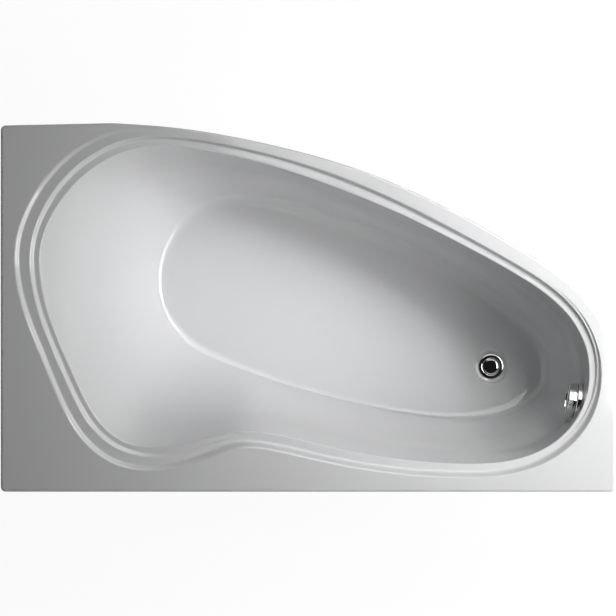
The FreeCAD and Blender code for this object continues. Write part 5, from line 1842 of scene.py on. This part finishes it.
@dataclass
class Studio:
    """Floor, lamps, surroundings with painted highlights and a painted dark reflection, and camera."""

    field_width: float = 1.5021
    camera_height: float = 6.33
    camera_shift: float = -0.00146
    sensor: float = 36.0
    far: float = 50.0
    floor_reach: float = 6.0
    floor_gap: float = 0.0005
    flag_height: float = 7.5
    flag_reach: float = 7.5
    card: tuple[tuple[float, float], tuple[float, float]] = ((0.5, 4.0), (2.6, 1.1))
    card_span: tuple[float, float] = (-0.3, 1.3)
    strip: tuple[float, float] = (1.2, 2.2)
    strip_height: float = 1.9
    strip_span: tuple[float, float] = (30.0, 92.0)
    strip_glow: float = 4.5
    strip_points: int = 40
    sheet_points: int = 64

    def build(self) -> None:
        """Sets up the studio."""
        middle, count = Vector(), self.sheet_points
        staged("studio_floor", ring(self.floor_reach, -self.floor_gap, count, middle), Paper())
        # Painted dark reflection: a black sheet far above that only gloss and chrome see, and which blocks no
        # light.
        dark_outline = ring(self.flag_reach, self.flag_height, count, middle)
        reflected("painted_dark_reflection", dark_outline, PaintedDarkReflection())
        # Painted highlights: glowing sheets that only gloss and chrome see, and which light nothing.
        reflected("painted_highlight_card", self._card(), GlowingCloth())
        reflected("painted_highlight_strip", self._strip(), GlowingCloth(self.strip_glow))
        for lamp in LAMPS:
            self._add_lamp(lamp)
        self._add_world()
        self._add_camera()
        bpy.context.scene.view_settings.view_transform = "Standard"

    def _card(self) -> list[Point]:
        """The outline of a leaning glowing sheet on the far side, which paints highlights in gloss and
        chrome.

        Returns:
            Its corners.
        """
        (y0, z0), (y1, z1) = self.card
        left, right = self.card_span
        return [(left, y0, z0), (right, y0, z0), (right, y1, z1), (left, y1, z1)]

    def _strip(self) -> list[Point]:
        """The outline of a narrow glowing band round the far side, which paints a thin highlight in gloss.

        Returns:
            Its points.
        """
        turns = np.radians(np.linspace(*self.strip_span, self.strip_points))
        near, far = self.strip
        outline = [(near, turn) for turn in turns] + [(far, turn) for turn in turns[::-1]]
        return [(r * math.cos(a), r * math.sin(a), self.strip_height) for r, a in outline]

    def _add_lamp(self, lamp: Lamp) -> None:
        """Adds a rectangular area lamp that points at its aim.

        Args:
            lamp: The lamp.
        """
        light = bpy.data.lights.new(lamp.name, "AREA")
        light.shape = "RECTANGLE"
        light.size, light.size_y = lamp.size
        light.energy = lamp.power
        light.spread = math.radians(lamp.spread)
        holder = linked(lamp.name, light)
        holder.location = lamp.place
        way = Vector(lamp.aim) - Vector(lamp.place)
        holder.rotation_euler = way.to_track_quat("-Z", "Y").to_euler()

    def _add_world(self) -> None:
        """White where the camera looks past the floor, itself or in gloss, and no other light."""
        world = bpy.data.worlds.new("Studio")
        bpy.context.scene.world = world
        graph = blank(world)
        white, strength = (1.0, 1.0, 1.0, 1.0), direct_sight(graph)
        back = graph.result("ShaderNodeBackground", Color=white, Strength=strength)
        graph.node("ShaderNodeOutputWorld", Surface=back)

    def _add_camera(self) -> None:
        """The camera, straight above the bath."""
        lens = bpy.data.cameras.new("Camera")
        lens.sensor_width = self.sensor
        lens.lens = self.sensor * (self.camera_height - DECK) / self.field_width
        lens.clip_end = self.far
        camera = linked("Camera", lens)
        camera.location = (0.0, self.camera_shift, self.camera_height)
        bpy.context.scene.camera = camera


def staged(name: str, outline: Sequence[Point], finish: Finish) -> bpy.types.Object:
    """Makes a flat sheet of the studio, which isn't part of the bath.

    Args:
        name: The object's name.
        outline: The sheet's outline.
        finish: Its finish.

    Returns:
        The object.
    """
    data = bpy.data.meshes.new(name)
    data.from_pydata([tuple(point) for point in outline], [], [tuple(range(len(outline)))])
    data.materials.append(finish.material())
    sheet = linked(name, data)
    return sheet


def reflected(name: str, outline: Sequence[Point], finish: Finish) -> None:
    """Makes a sheet of the studio that only gloss and chrome see, for painted highlights and painted dark
    reflections.

    Args:
        name: The object's name.
        outline: The sheet's outline.
        finish: Its finish.
    """
    sheet = staged(name, outline, finish)
    sheet.visible_camera = False
    sheet.visible_diffuse = False
    sheet.visible_shadow = False


def dress_nodes(frame: dict[str, Any]) -> None:
    """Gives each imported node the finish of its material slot.

    Args:
        frame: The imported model's record and nodes.
    """
    for part in frame["record"]["subparts"]:
        name = part["node"]
        node = frame["nodes"][name]
        finish = Palette[part["material_slot"]].value
        if not node.material_slots:
            node.data.materials.append(finish.material())
        for place in node.material_slots:
            place.material = finish.material()
        log.info("node %s in %s", name, finish.title)


def main() -> None:
    """Builds the bath, its fittings and the studio, in order."""
    logging.basicConfig(level=logging.INFO, format="%(message)s")
    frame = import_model()
    Studio().build()
    dress_nodes(frame)
    placed(Bath().build(), "tub", "acrylic", "tub_shell")
    waste = WasteSet()
    placed(waste.flange(), "tub", "chrome", "waste_flange")
    placed(waste.cap(), "plug", "chrome", "plug_cap")
    overflow = OverflowSet()
    placed(overflow.rosette(), "tub", "chrome", "overflow_rosette")
    placed(overflow.knob(), "knob", "chrome", "overflow_knob")
    placed(overflow.grip(), "knob", "chrome")
    ribs, *nuts = Plumbing().build()
    placed(ribs, "tub", "hose")
    for nut in nuts:
        placed(nut, "tub", "white_plastic")
    for number, rod in enumerate(Feet().build(), 1):
        placed(rod, f"foot_{number}", "steel", f"foot_rod_{number}")


if __name__ == "__main__":
    main()
